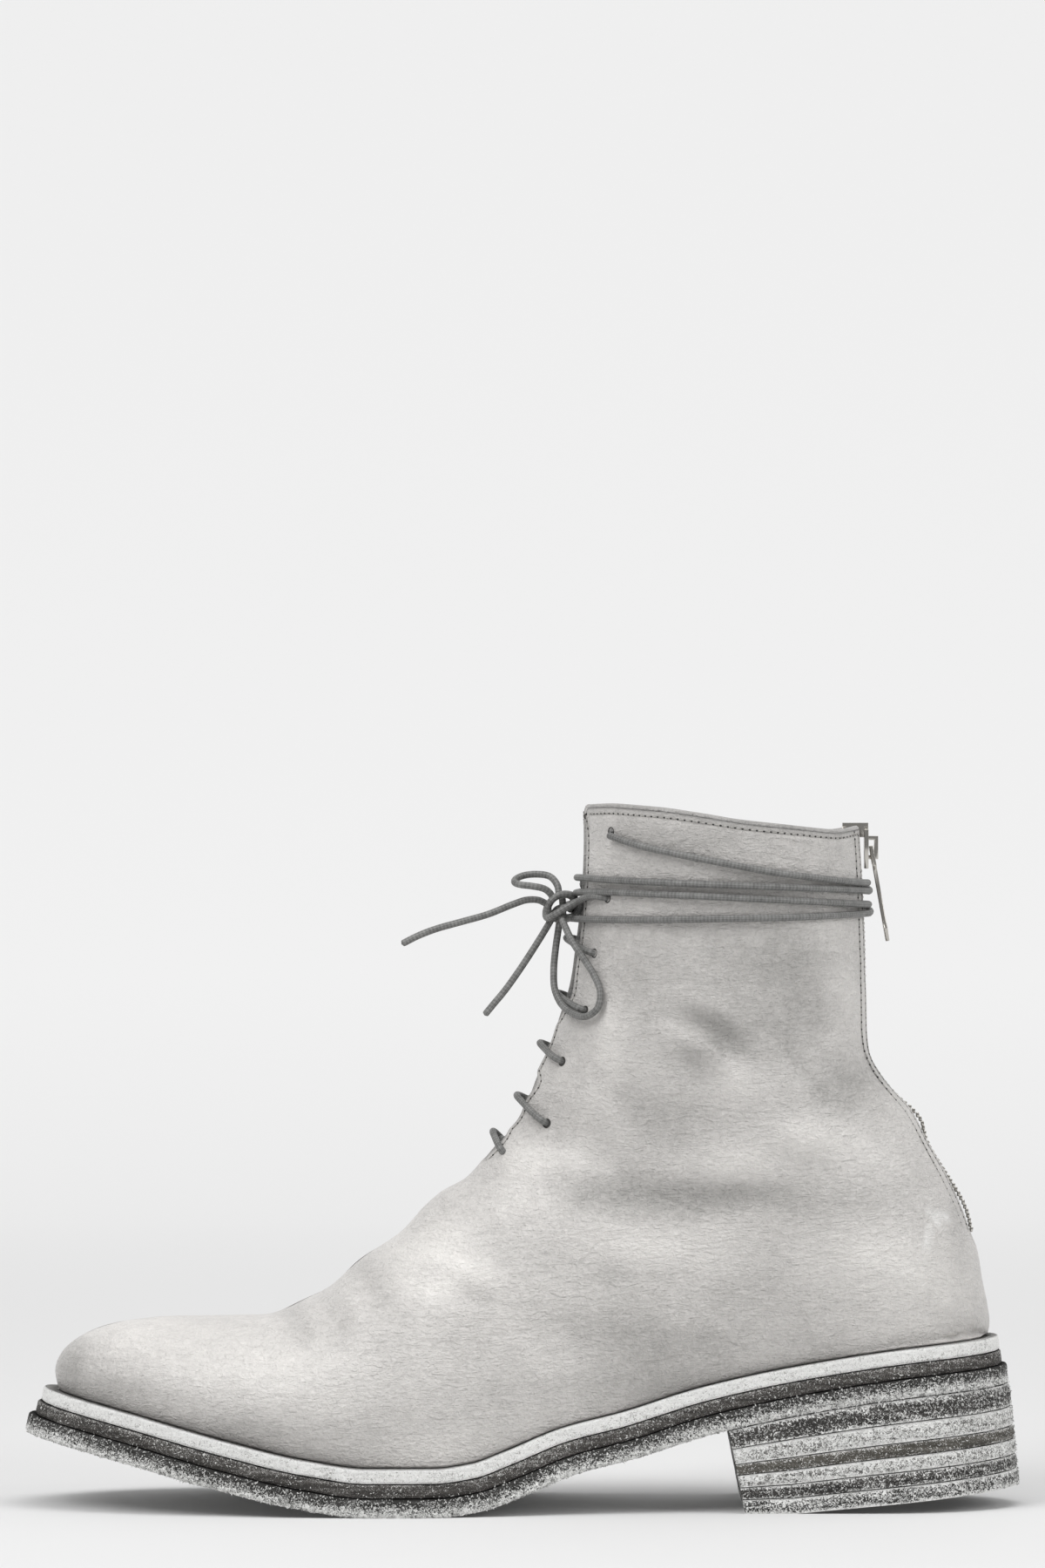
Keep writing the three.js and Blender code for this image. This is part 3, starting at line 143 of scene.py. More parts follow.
# Sections of the upper, fanned out from the front line
SECTIONS = table(
    "at end outer inner belly crown rear collar",
    (0.000, 0.000, 0.424, 0.448, 0.76, 0.50, 0.13, 0), (0.040, 0.012, 0.424, 0.448, 0.76, 0.50, 0.13, 0),
    (0.110, 0.070, 0.424, 0.448, 0.76, 0.50, 0.13, 0), (0.210, 0.160, 0.424, 0.450, 0.76, 0.50, 0.13, 0),
    (0.285, 0.245, 0.440, 0.455, 0.76, 0.50, 0.13, 0), (0.370, 0.330, 0.455, 0.440, 0.76, 0.51, 0.13, 0),
    (0.470, 0.470, 0.420, 0.385, 0.75, 0.54, 0.13, 0), (0.550, 0.660, 0.362, 0.347, 0.71, 0.57, 0.13, 0),
    (0.600, 0.870, 0.343, 0.338, 0.66, 0.58, 0.13, 0), (0.635, 1.000, 0.338, 0.335, 0.62, 0.59, 0.13, 0),
    (0.665, 1.163, 0.334, 0.334, 0.58, 0.60, 0.13, 0), (0.700, 1.387, 0.333, 0.337, 0.54, 0.62, 0.14, 0),
    (0.735, 1.532, 0.335, 0.340, 0.52, 0.63, 0.14, 0), (0.773, 1.644, 0.340, 0.342, 0.50, 0.64, 0.14, 0),
    (0.869, 1.809, 0.354, 0.354, 0.50, 0.64, 0.14, 0), (1.000, 2.000, 0.363, 0.363, 0.50, 0.62, 0.14, 1),
)

# The collar's edge from front to back: its rise as a share of BOOT_HEIGHT
COLLAR_EDGE = table(
    "at rise",
    (0.00, 0.0000), (0.12, 0.0045), (0.27, 0.0040), (0.43, 0.0000), (0.58, -0.0050), (0.75, -0.0072),
    (0.90, -0.0088), (1.00, 0.0000),
)

# The slit between the facings: half widths as shares of BALL_WIDTH, at shares of BOOT_HEIGHT
THROAT = table(
    "at half",
    (0.490, 0.000), (0.500, 0.017), (0.545, 0.028), (0.620, 0.026), (0.700, 0.016), (0.850, 0.014),
    (1.050, 0.017),
)

# Lace holes: share of the front line, and share of the section behind it
EYELETS = ((0.600, 0.034), (0.650, 0.055), (0.715, 0.052), (0.773, 0.077), (0.838, 0.070),
           (0.900, 0.095), (0.973, 0.100))

# The heel's breast at its top and bottom, and where its lifts meet, as shares of its height
BREAST_TOP = 0.713
BREAST_BOTTOM = 0.7295
HEEL_FLAT = 0.19
HEEL_LIFTS = (("heel_lift_1", 0.00, 0.23), ("heel_lift_2", 0.23, 0.42), ("heel_lift_3", 0.42, 0.55),
              ("heel_lift_4", 0.55, 0.70), ("heel_lift_5", 0.70, 0.84), ("top_lift", 0.84, 1.00))


# Curves and surfaces of the boot


def read(rows, column, at):
    """A column of a table on a smooth curve through its rows, which never overshoots a peak."""
    x, y = rows["at"], rows[column]
    at = np.clip(np.asarray(at, float), x[0], x[-1])
    rise = np.diff(y) / np.diff(x)
    slope = np.empty_like(y)
    slope[0], slope[-1] = rise[0], rise[-1]
    product = rise[:-1] * rise[1:]
    total = rise[:-1] + rise[1:]
    slope[1:-1] = np.where(product > 0, 2 * product / np.where(total == 0, 1, total), 0)
    row = np.clip(np.searchsorted(x, at, side="right") - 1, 0, len(x) - 2)
    span = x[row + 1] - x[row]
    t = (at - x[row]) / span
    return (y[row] * (2 * t**3 - 3 * t**2 + 1) + y[row + 1] * (3 * t**2 - 2 * t**3)
            + slope[row] * span * (t**3 - 2 * t**2 + t) + slope[row + 1] * span * (t**3 - t**2))


def mix(a, b, t):
    return a + (b - a) * t


def smooth(x, low, high):
    t = np.clip((np.asarray(x, float) - low) / (high - low), 0, 1)
    return t * t * (3 - 2 * t)


def unit(vectors):
    return vectors / np.maximum(np.linalg.norm(vectors, axis=-1, keepdims=True), 1e-9)


def spline(points, count):
    """Points evenly spaced along a smooth curve that passes through the given ones."""
    p = np.asarray(points, float)
    p = np.vstack([2 * p[0] - p[1], p, 2 * p[-1] - p[-2]])
    gaps = np.maximum(np.linalg.norm(np.diff(p, axis=0), axis=1) ** 0.5, 1e-4)
    fine = []
    for k in range(1, len(p) - 2):
        g0, g1, g2 = gaps[k - 1:k + 2]
        a, b, c, d = p[k - 1:k + 3]
        start = ((b - a) / g0 - (c - a) / (g0 + g1) + (c - b) / g1) * g1
        stop = ((c - b) / g1 - (d - b) / (g1 + g2) + (d - c) / g2) * g1
        t = np.linspace(0, 1, 25)[:-1, None]
        fine.append(b + start * t + (-3 * b + 3 * c - 2 * start - stop) * t**2
                    + (2 * b - 2 * c + start + stop) * t**3)
    fine = np.vstack(fine + [p[-2][None]])
    length = np.concatenate([[0], np.cumsum(np.linalg.norm(np.diff(fine, axis=0), axis=1))])
    at = np.linspace(0, length[-1], count)
    return np.stack([np.interp(at, length, fine[:, axis]) for axis in range(fine.shape[1])], axis=1)


def tread_point(share):
    share = np.asarray(share, float)
    z = read(TREAD, "toe", share) * TOE_SPRING + read(TREAD, "heel", share) * HEEL_RISE
    return TOE_X + share * SOLE_LENGTH, z


def sole_point(share, height):
    """A point at a height square to the tread."""
    share = np.asarray(share, float)
    x, z = tread_point(share)
    x0, z0 = tread_point(np.maximum(0, share - 0.004))
    x1, z1 = tread_point(np.minimum(1, share + 0.004))
    length = np.hypot(x1 - x0, z1 - z0)
    return x - height * (z1 - z0) / length, z + height * (x1 - x0) / length


def round_end(reach):
    return np.where(reach >= 1, 1, np.sqrt(np.maximum(0, 1 - (1 - np.minimum(reach, 1)) ** 2)))


def inset(name, share, extra=0.0):
    return read(EDGES, name, share) * WELT_REACH + extra


def footprint(u, name, extra=0.0):
    """Share, roundness at the toe, outer and inner half widths and swing of an inset outline."""
    toe = inset(name, 0, extra) / SOLE_LENGTH
    heel = inset(name, 1, extra) / SOLE_LENGTH
    share = mix(toe, 1 - heel, np.asarray(u, float))
    toe_round = round_end((share - toe) / TOE_ROUND)
    heel_round = round_end((1 - heel - share) / HEEL_ROUND)
    back = inset(name, share, extra)
    outer = (read(OUTLINE, "outer", share) * BALL_WIDTH - back) * toe_round * heel_round
    inner = (read(OUTLINE, "inner", share) * BALL_WIDTH - back) * toe_round * heel_round
    return share, toe_round, outer, inner, read(OUTLINE, "swing", share) * BALL_WIDTH


TOE_FEATHER = [float(v) for v in sole_point(footprint(0, "feather")[0], UPPER_SEAT)]
HEEL_FEATHER = [float(v) for v in sole_point(footprint(1, "feather")[0], UPPER_SEAT)]
BACK_TOP = BOOT_HEIGHT - BACK_DROP
FRONT_POINTS = spline(
    np.stack([TOE_FEATHER[0] + FRONT_LINE["along"] * SOLE_LENGTH,
              mix(TOE_FEATHER[1], BOOT_HEIGHT, FRONT_LINE["up"])], axis=1), 1201)
FRONT_SHARES = np.linspace(0, 1, len(FRONT_POINTS))
FRONT_LENGTH = float(np.linalg.norm(np.diff(FRONT_POINTS, axis=0), axis=1).sum())
BELLY_TURN = 0.5
SEAT_FADE = 0.3


def back_x(z):
    share = (z - HEEL_FEATHER[1]) / (BACK_TOP - HEEL_FEATHER[1])
    return HEEL_FEATHER[0] + SOLE_LENGTH * read(BACK_LINE, "along", share)


def back_z(share):
    return mix(HEEL_FEATHER[1], BACK_TOP, share)


def skin(front, turn):
    """The upper's outer face: front runs from toe to collar, turn from -1 round the outer side to 1."""
    front, turn = np.broadcast_arrays(np.clip(np.asarray(front, float), 0, 1), np.asarray(turn, float))
    turn = np.where(turn > 1, turn - 2, np.where(turn < -1, turn + 2, turn))
    end = read(SECTIONS, "end", front)
    share, toe_round, _, _, swing = footprint(np.minimum(1, end), "feather")
    fade = smooth(end, 1, 1 + SEAT_FADE)
    outer = turn < 0
    wide = np.where(outer, read(SECTIONS, "outer", front), read(SECTIONS, "inner", front))
    seat = np.where(outer, read(OUTLINE, "outer", share), read(OUTLINE, "inner", share)) * BALL_WIDTH
    wide = wide * BALL_WIDTH * toe_round
    foot = mix((seat - inset("feather", share)) * toe_round, wide, fade)
    start_x = np.interp(front, FRONT_SHARES, FRONT_POINTS[:, 0])
    start_z = np.interp(front, FRONT_SHARES, FRONT_POINTS[:, 1])
    sole_x, sole_z = sole_point(share, UPPER_SEAT)
    stop_z = np.where(end > 1, back_z(end - 1), sole_z)
    stop_x = np.where(end > 1, back_x(back_z(end - 1)), sole_x)
    belly = read(SECTIONS, "belly", front)
    reach = np.abs(turn)
    crown_angle = np.minimum(reach / BELLY_TURN, 1) * math.pi / 2
    rear_angle = np.clip((reach - BELLY_TURN) / (1 - BELLY_TURN), 0, 1) * math.pi / 2
    before = reach < BELLY_TURN
    along = np.where(before, belly * (1 - np.cos(crown_angle)), mix(belly, 1, np.sin(rear_angle)))
    half = np.where(before, wide * np.sin(crown_angle) ** (2 * read(SECTIONS, "crown", front)),
                    mix(foot, wide, np.cos(rear_angle) ** 2))
    x = mix(start_x, stop_x, along)
    z = mix(start_z, stop_z, along)
    half = half * round_end((back_x(z) - x) / (read(SECTIONS, "rear", front) * SOLE_LENGTH))
    rise = read(COLLAR_EDGE, "rise", along) * BOOT_HEIGHT * read(SECTIONS, "collar", front)
    return np.stack([x + CENTRING, swing + np.sign(turn) * half, z + rise], axis=-1)


def under_skin(front, turn, depth):
    """A point under the upper's outer face, or over it with a negative depth."""
    front, turn = np.broadcast_arrays(np.asarray(front, float), np.asarray(turn, float))
    step = 0.004
    up = skin(np.minimum(1, front + step), turn) - skin(np.maximum(0, front - step), turn)
    around = skin(front, turn + step) - skin(front, turn - step)
    return skin(front, turn) - unit(np.cross(up, around)) * np.asarray(depth, float)[..., None]


def turn_for(front, back):
    belly = read(SECTIONS, "belly", front)
    return BELLY_TURN * np.arccos(1 - back / belly) / (math.pi / 2)


def find(low, high, too_low, steps=24):
    """Halves a stretch for each place at once, until what lies too low is known."""
    low, high = np.array(low, float), np.array(high, float)
    for _ in range(steps):
        middle = (low + high) / 2
        below = too_low(middle)
        low, high = np.where(below, middle, low), np.where(below, high, middle)
    return low


# Meshes and nodes


def quads(rows, columns, offset=0, turned=False):
    """The faces of a grid of points that is stored row by row."""
    corner = (np.arange(rows - 1)[:, None] * columns + np.arange(columns - 1)[None, :]).ravel() + offset
    faces = np.stack([corner, corner + 1, corner + columns + 1, corner + columns], axis=1)
    return faces[:, ::-1] if turned else faces


def add_mesh(name, parts, material, values=None, uv=None, merge=0.0, body="boot"):
    """One piece from point arrays in millimetres, each with its faces."""
    points, faces, start = [], [], 0
    for part_points, part_faces in parts:
        flat = np.asarray(part_points, float).reshape(-1, 3)
        points.append(flat)
        faces.extend([corner + start for corner in face] for face in part_faces)
        start += len(flat)
    mesh = bpy.data.meshes.new(name)
    mesh.from_pydata((np.vstack(points) * MM).tolist(), [], faces)
    for key, value in (values or {}).items():
        layer = mesh.attributes.new(key, "FLOAT", "POINT")
        layer.data.foreach_set("value", np.asarray(value, np.float32).ravel())
    if uv is not None:
        corners = np.empty(len(mesh.loops), np.int32)
        mesh.loops.foreach_get("vertex_index", corners)
        layer = mesh.uv_layers.new(name="UVMap")
        layer.data.foreach_set("uv", np.asarray(uv, np.float32).reshape(-1, 2)[corners].ravel())
    if merge:
        work = bmesh.new()
        work.from_mesh(mesh)
        bmesh.ops.remove_doubles(work, verts=work.verts, dist=merge * MM)
        bmesh.ops.dissolve_degenerate(work, dist=merge * MM / 2, edges=work.edges)
        work.to_mesh(mesh)
        work.free()
    mesh.polygons.foreach_set("use_smooth", np.ones(len(mesh.polygons), bool))
    mesh.materials.append(material)
    mesh.update()
    piece = bpy.data.objects.new(name, mesh)
    bpy.context.scene.collection.objects.link(piece)
    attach(piece, body)
    return piece


def linear(code):
    """A colour for a shader from an sRGB hex value such as "#CFCBC5"."""
    parts = [int(code[k:k + 2], 16) / 255 for k in (1, 3, 5)]
    return [p / 12.92 if p <= 0.04045 else ((p + 0.055) / 1.055) ** 2.4 for p in parts] + [1.0]


def per(size):
    """The scale of a pattern whose repeat is so many millimetres."""
    return 1000.0 / size


def feed(tree, made, inputs):
    """Sets each input of a node to a value, or links it to the socket of another node."""
    for key, value in inputs.items():
        if isinstance(value, bpy.types.NodeSocket):
            tree.links.new(value, made.inputs[key])
        else:
            made.inputs[key].default_value = value


def add_node(tree, kind, output, inputs=None, stops=(), **settings):
    """Adds a node with its settings, links and colour stops, and gives the socket that others read."""
    made = tree.nodes.new(kind)
    for key, value in settings.items():
        setattr(made, key, value)
    feed(tree, made, inputs or {})
    for k, (at, shade) in enumerate(stops):
        element = made.color_ramp.elements[k] if k < 2 else made.color_ramp.elements.new(at)
        element.position = at
        element.color = shade if isinstance(shade, (list, tuple)) else (shade, shade, shade, 1.0)
    return made.outputs[output]


def new_material(name):
    """A named material, what its nodes are added to, its surface shader and its object coordinates."""
    material = bpy.data.materials.new(name)
    material.use_nodes = True
    tree = material.node_tree
    return material, tree, tree.nodes["Principled BSDF"], add_node(tree, "ShaderNodeTexCoord", "Object")


# Materials


def washed_calf_leather(colours):
    """Full-grain calf, object-dyed pale grey, washed and waxed by hand: cloudy tone, partly painted shade and
    painted highlights, and soft wax shine.
    """
    material, tree, shader, here = new_material("washed_calf_leather")
    tone = add_node(tree, "ShaderNodeAttribute", "Fac", attribute_name="tone")
    wax = add_node(tree, "ShaderNodeTexNoise", "Fac", {
        "Vector": here, "Scale": per(38), "Detail": 4.0, "Roughness": 0.6, "Distortion": 0.4})
    rub = add_node(tree, "ShaderNodeTexNoise", "Fac", {
        "Vector": here, "Scale": per(8), "Detail": 5.0, "Roughness": 0.65, "Distortion": 0.6})
    # Pores and hair cells are about 0.4 mm in real calf and are drawn at 1 mm, so that they show
    fine = add_node(tree, "ShaderNodeTexNoise", "Fac", {
        "Vector": here, "Scale": per(1.3), "Detail": 2.0, "Roughness": 0.6, "Distortion": 1.0})
    lines = add_node(tree, "ShaderNodeMapping", 0, {
        "Vector": here, "Rotation": (0.0, 0.5, 0.0), "Scale": (per(5), per(5), per(1.4))})
    wrinkles = add_node(tree, "ShaderNodeTexNoise", "Fac", {
        "Vector": lines, "Scale": 1.0, "Detail": 4.0, "Roughness": 0.6, "Distortion": 1.4})
    # The tone attribute paints shade into crease troughs and highlights onto ridges and lit clouds, as well as
    # the uneven dye
    level = add_node(tree, "ShaderNodeMath", 0, {0: tone, 1: 0.60, 2: -0.21}, operation="MULTIPLY_ADD")
    level = add_node(tree, "ShaderNodeMath", 0, {0: wax, 1: 0.28, 2: level}, operation="MULTIPLY_ADD")
    level = add_node(tree, "ShaderNodeMath", 0, {0: rub, 1: 0.38, 2: level}, operation="MULTIPLY_ADD")
    level = add_node(tree, "ShaderNodeMath", 0, {0: fine, 1: 0.50, 2: level}, operation="MULTIPLY_ADD")
    level = add_node(tree, "ShaderNodeMath", 0, {0: wrinkles, 1: 0.25, 2: level}, operation="MULTIPLY_ADD")
    base = add_node(tree, "ShaderNodeValToRGB", "Color", {"Fac": level}, (
        (0.0, (*colours.leather_dark, 1.0)), (1.0, (*colours.leather_light, 1.0)),
        (0.5, (*colours.leather, 1.0))))
    edge = add_node(tree, "ShaderNodeAttribute", "Fac", attribute_name="edge")
    base = add_node(tree, "ShaderNodeMix", 2, {0: edge, 6: base, 7: (*colours.edge, 1.0)}, data_type="RGBA")
    scuff = add_node(tree, "ShaderNodeAttribute", "Fac", attribute_name="scuff")
    base = add_node(tree, "ShaderNodeMix", 2, {0: scuff, 6: base, 7: (*colours.scuff, 1.0)}, data_type="RGBA")
    gloss = add_node(tree, "ShaderNodeValToRGB", "Color", {"Fac": rub}, ((0.32, 0.36), (0.66, 0.54)))
    cells = add_node(tree, "ShaderNodeTexVoronoi", "Distance", {
        "Vector": here, "Scale": per(1.0), "Randomness": 1.0}, feature="SMOOTH_F1")
    grain = add_node(tree, "ShaderNodeBump", 0, {"Height": cells, "Distance": 0.25 * MM, "Strength": 0.6})
    grain = add_node(tree, "ShaderNodeBump", 0, {
        "Height": fine, "Distance": 0.7 * MM, "Strength": 0.7, "Normal": grain})
    grain = add_node(tree, "ShaderNodeBump", 0, {
        "Height": wrinkles, "Distance": 1.1 * MM, "Strength": 0.65, "Normal": grain})
    grain = add_node(tree, "ShaderNodeBump", 0, {
        "Height": rub, "Distance": 1.2 * MM, "Strength": 0.25, "Normal": grain})
    feed(tree, shader, {"Base Color": base, "Roughness": gloss, "Normal": grain, "Specular IOR Level": 0.5,
                        "Coat Weight": 0.15, "Coat Roughness": 0.3, "Sheen Weight": 0.04})
    return material


def suede_tongue_leather():
    """Unlined leather with its flesh side out, dyed dark grey: matt, with a short uneven nap."""
    material, tree, shader, here = new_material("suede_tongue_leather")
    nap = add_node(tree, "ShaderNodeTexNoise", "Fac", {
        "Vector": here, "Scale": per(1.2), "Detail": 4.0, "Roughness": 0.7})
    base = add_node(tree, "ShaderNodeValToRGB", "Color", {"Fac": nap}, (
        (0.3, linear("#3F3F3E")), (0.7, linear("#6E6D6B"))))
    rise = add_node(tree, "ShaderNodeBump", 0, {"Height": nap, "Distance": 0.3 * MM, "Strength": 0.6})
    feed(tree, shader, {"Base Color": base, "Normal": rise, "Roughness": 0.9, "Sheen Weight": 0.2})
    return material


def cut_edge_and_hole_shade():
    """Cut leather inside a punched hole, darkened by dye and wax, and by painted shade of the hole's inside:
    matt and almost black.
    """
    material, tree, shader, here = new_material("cut_edge_and_hole_shade")
    fibre = add_node(tree, "ShaderNodeTexNoise", "Fac", {"Vector": here, "Scale": per(0.8), "Detail": 3.0})
    base = add_node(tree, "ShaderNodeValToRGB", "Color", {"Fac": fibre}, (
        (0.3, linear("#2E2D2C")), (0.7, linear("#4B4A48"))))
    feed(tree, shader, {"Base Color": base, "Roughness": 0.95})
    return material


def waxed_linen_thread():
    """Twisted linen thread, drawn through wax: slightly glossy, darker where it dips into its hole."""
    material, tree, shader, here = new_material("waxed_linen_thread")
    twist = add_node(tree, "ShaderNodeTexNoise", "Fac", {"Vector": here, "Scale": per(0.9), "Detail": 3.0})
    base = add_node(tree, "ShaderNodeValToRGB", "Color", {"Fac": twist}, (
        (0.3, linear("#908E8A")), (0.7, linear("#C2C0BC"))))
    rise = add_node(tree, "ShaderNodeBump", 0, {"Height": twist, "Distance": 0.05 * MM, "Strength": 0.5})
    feed(tree, shader, {"Base Color": base, "Normal": rise, "Roughness": 0.55})
    return material


def brushed_insole_leather():
    """Vegetable-tanned insole leather, brushed: pale tan, matt, with a trace of grain."""
    material, tree, shader, here = new_material("brushed_insole_leather")
    patch = add_node(tree, "ShaderNodeTexNoise", "Fac", {
        "Vector": here, "Scale": per(9), "Detail": 5.0, "Roughness": 0.6})
    base = add_node(tree, "ShaderNodeValToRGB", "Color", {"Fac": patch}, (
        (0.3, linear("#A1998E")), (0.7, linear("#C2BBAF"))))
    rise = add_node(tree, "ShaderNodeBump", 0, {"Height": patch, "Distance": 0.2 * MM, "Strength": 0.5})
    feed(tree, shader, {"Base Color": base, "Normal": rise, "Roughness": 0.75})
    return material


def dusted_edge(name, ground, dust, cover, crumb, relief):
    """A cut edge, dyed dark, sanded and dusted white: cover is the share of dust, crumb its grain in mm."""
    material, tree, shader, here = new_material(name)
    fine = add_node(tree, "ShaderNodeTexNoise", "Fac", {
        "Vector": here, "Scale": per(crumb), "Detail": 2.0, "Roughness": 0.6, "Distortion": 1.6})
    # Knife marks run along the edge, so this pattern is ten times longer than it is tall
    along = add_node(tree, "ShaderNodeMapping", 0, {"Vector": here, "Scale": (per(11), per(11), per(1.1))})
    streak = add_node(tree, "ShaderNodeTexNoise", "Fac", {
        "Vector": along, "Scale": 1.0, "Detail": 3.0, "Roughness": 0.6, "Distortion": 0.4})
    patch = add_node(tree, "ShaderNodeTexNoise", "Fac", {
        "Vector": here, "Scale": per(16), "Detail": 3.0, "Roughness": 0.6})
    chalk = add_node(tree, "ShaderNodeAttribute", "Fac", attribute_name="chalk")
    level = add_node(tree, "ShaderNodeMath", 0, {0: fine, 1: 0.70, 2: chalk}, operation="MULTIPLY_ADD")
    level = add_node(tree, "ShaderNodeMath", 0, {0: streak, 1: 0.20, 2: level}, operation="MULTIPLY_ADD")
    level = add_node(tree, "ShaderNodeMath", 0, {0: patch, 1: 0.10, 2: level}, operation="MULTIPLY_ADD")
    edge = 0.62 - 0.24 * cover
    mask = add_node(tree, "ShaderNodeValToRGB", "Color", {"Fac": level}, (
        (edge - 0.03, 0.0), (edge + 0.05, 1.0)))
    soil = add_node(tree, "ShaderNodeValToRGB", "Color", {"Fac": streak}, (
        (0.35, linear(ground[0])), (0.65, linear(ground[1]))))
    chalky = add_node(tree, "ShaderNodeValToRGB", "Color", {"Fac": fine}, (
        (0.35, linear(dust[0])), (0.7, linear(dust[1]))))
    base = add_node(tree, "ShaderNodeMix", 2, {0: mask, 6: soil, 7: chalky}, data_type="RGBA")
    rise = add_node(tree, "ShaderNodeBump", 0, {"Height": mask, "Distance": relief * MM, "Strength": 0.6})
    rise = add_node(tree, "ShaderNodeBump", 0, {
        "Height": streak, "Distance": 0.4 * MM, "Strength": 0.5, "Normal": rise})
    feed(tree, shader, {"Base Color": base, "Normal": rise, "Roughness": 0.9, "Specular IOR Level": 0.3})
    return material


def chalk_crumbs():
    """Rubber and leather dust, rubbed with chalk: soft matt white specks."""
    material, tree, shader, here = new_material("chalk_crumbs")
    mottle = add_node(tree, "ShaderNodeTexNoise", "Fac", {"Vector": here, "Scale": per(1.4), "Detail": 2.0})
    base = add_node(tree, "ShaderNodeValToRGB", "Color", {"Fac": mottle}, (
        (0.35, linear("#8C8C8A")), (0.6, linear("#E2E2E0"))))
    feed(tree, shader, {"Base Color": base, "Roughness": 0.95, "Specular IOR Level": 0.2})
    return material


def waxed_cotton_braid(colours, turns):
    """A round cotton shoelace, braided and waxed: fine diagonal plait, with painted shade between its strands,
    and a dull shine.
    """
    material, tree, shader, here = new_material("waxed_cotton_braid")
    strands = add_node(tree, "ShaderNodeUVMap", "UV", uv_map="UVMap")
    along = add_node(tree, "ShaderNodeSeparateXYZ", "X", {"Vector": strands})
    about = add_node(tree, "ShaderNodeSeparateXYZ", "Y", {"Vector": strands})
    along = add_node(tree, "ShaderNodeMath", 0, {0: along, 1: turns * 2 * math.pi}, operation="MULTIPLY")
    crossed = []
    for turn in (-5, 5):
        slant = add_node(tree, "ShaderNodeMath", 0, {0: about, 1: turn * 2 * math.pi, 2: along},
                         operation="MULTIPLY_ADD")
        crossed.append(add_node(tree, "ShaderNodeMath", 0, {0: slant}, operation="SINE"))
    plait = add_node(tree, "ShaderNodeMath", 0, {0: crossed[0], 1: crossed[1]}, operation="MULTIPLY")
    plait = add_node(tree, "ShaderNodeMath", 0, {0: plait, 1: 0.5, 2: 0.5}, operation="MULTIPLY_ADD")
    wear = add_node(tree, "ShaderNodeTexNoise", "Fac", {
        "Vector": here, "Scale": per(2.2), "Detail": 4.0, "Roughness": 0.7})
    # The plait term paints the colour darker between the strands: painted shade in the braid's grooves
    level = add_node(tree, "ShaderNodeMath", 0, {0: plait, 1: 0.3, 2: 0.0}, operation="MULTIPLY_ADD")
    level = add_node(tree, "ShaderNodeMath", 0, {0: wear, 1: 0.7, 2: level}, operation="MULTIPLY_ADD")
    base = add_node(tree, "ShaderNodeValToRGB", "Color", {"Fac": level}, (
        (0.28, (*colours.lace_dark, 1.0)), (0.72, (*colours.lace, 1.0))))
    rise = add_node(tree, "ShaderNodeBump", 0, {"Height": plait, "Distance": 0.12 * MM, "Strength": 0.6})
    feed(tree, shader, {"Base Color": base, "Normal": rise, "Roughness": 0.5, "Specular IOR Level": 0.45})
    return material


def polished_nickel_plate():
    """Nickel plate on brass, polished: sharp dark and bright reflections with faint wear."""
    material, tree, shader, here = new_material("polished_nickel_plate")
    haze = add_node(tree, "ShaderNodeTexNoise", "Fac", {"Vector": here, "Scale": per(3), "Detail": 4.0})
    gloss = add_node(tree, "ShaderNodeValToRGB", "Color", {"Fac": haze}, ((0.3, 0.10), (0.7, 0.24)))
    rise = add_node(tree, "ShaderNodeBump", 0, {"Height": haze, "Distance": 0.05 * MM, "Strength": 0.3})
    feed(tree, shader, {"Base Color": linear("#C4C1BB"), "Metallic": 1.0, "Roughness": gloss, "Normal": rise})
    return material


def woven_zip_tape():
    """Polyester zip tape in a herringbone twill, washed pale: matt with fine slanted ribs."""
    material, tree, shader, here = new_material("woven_zip_tape")
    # The ribs are 0.4 mm apart in real tape and drawn at 1 mm, so that they show
    ribs = add_node(tree, "ShaderNodeTexWave", "Fac", {
        "Vector": here, "Scale": per(1.0) / 20 * math.pi, "Distortion": 0.5}, bands_direction="Z")
    soil = add_node(tree, "ShaderNodeTexNoise", "Fac", {
        "Vector": here, "Scale": per(5), "Detail": 4.0, "Roughness": 0.6})
    base = add_node(tree, "ShaderNodeValToRGB", "Color", {"Fac": soil}, (
        (0.3, linear("#8E8D8A")), (0.7, linear("#C2C1BD"))))
    rise = add_node(tree, "ShaderNodeBump", 0, {"Height": ribs, "Distance": 0.2 * MM, "Strength": 0.5})
    feed(tree, shader, {"Base Color": base, "Normal": rise, "Roughness": 0.85, "Sheen Weight": 0.1})
    return material


def brushed_fleece_lining():
    """Pale lining leather with a raised nap: matt, soft and almost white."""
    material, tree, shader, here = new_material("brushed_fleece_lining")
    nap = add_node(tree, "ShaderNodeTexNoise", "Fac", {
        "Vector": here, "Scale": per(1.2), "Detail": 4.0, "Roughness": 0.7})
    soil = add_node(tree, "ShaderNodeTexNoise", "Fac", {
        "Vector": here, "Scale": per(16), "Detail": 4.0, "Roughness": 0.6})
    base = add_node(tree, "ShaderNodeValToRGB", "Color", {"Fac": soil}, (
        (0.3, linear("#C9C7C2")), (0.7, linear("#E6E4DF"))))
    rise = add_node(tree, "ShaderNodeBump", 0, {"Height": nap, "Distance": 0.6 * MM, "Strength": 0.6})
    feed(tree, shader, {"Base Color": base, "Normal": rise, "Roughness": 0.95, "Sheen Weight": 0.5})
    return material


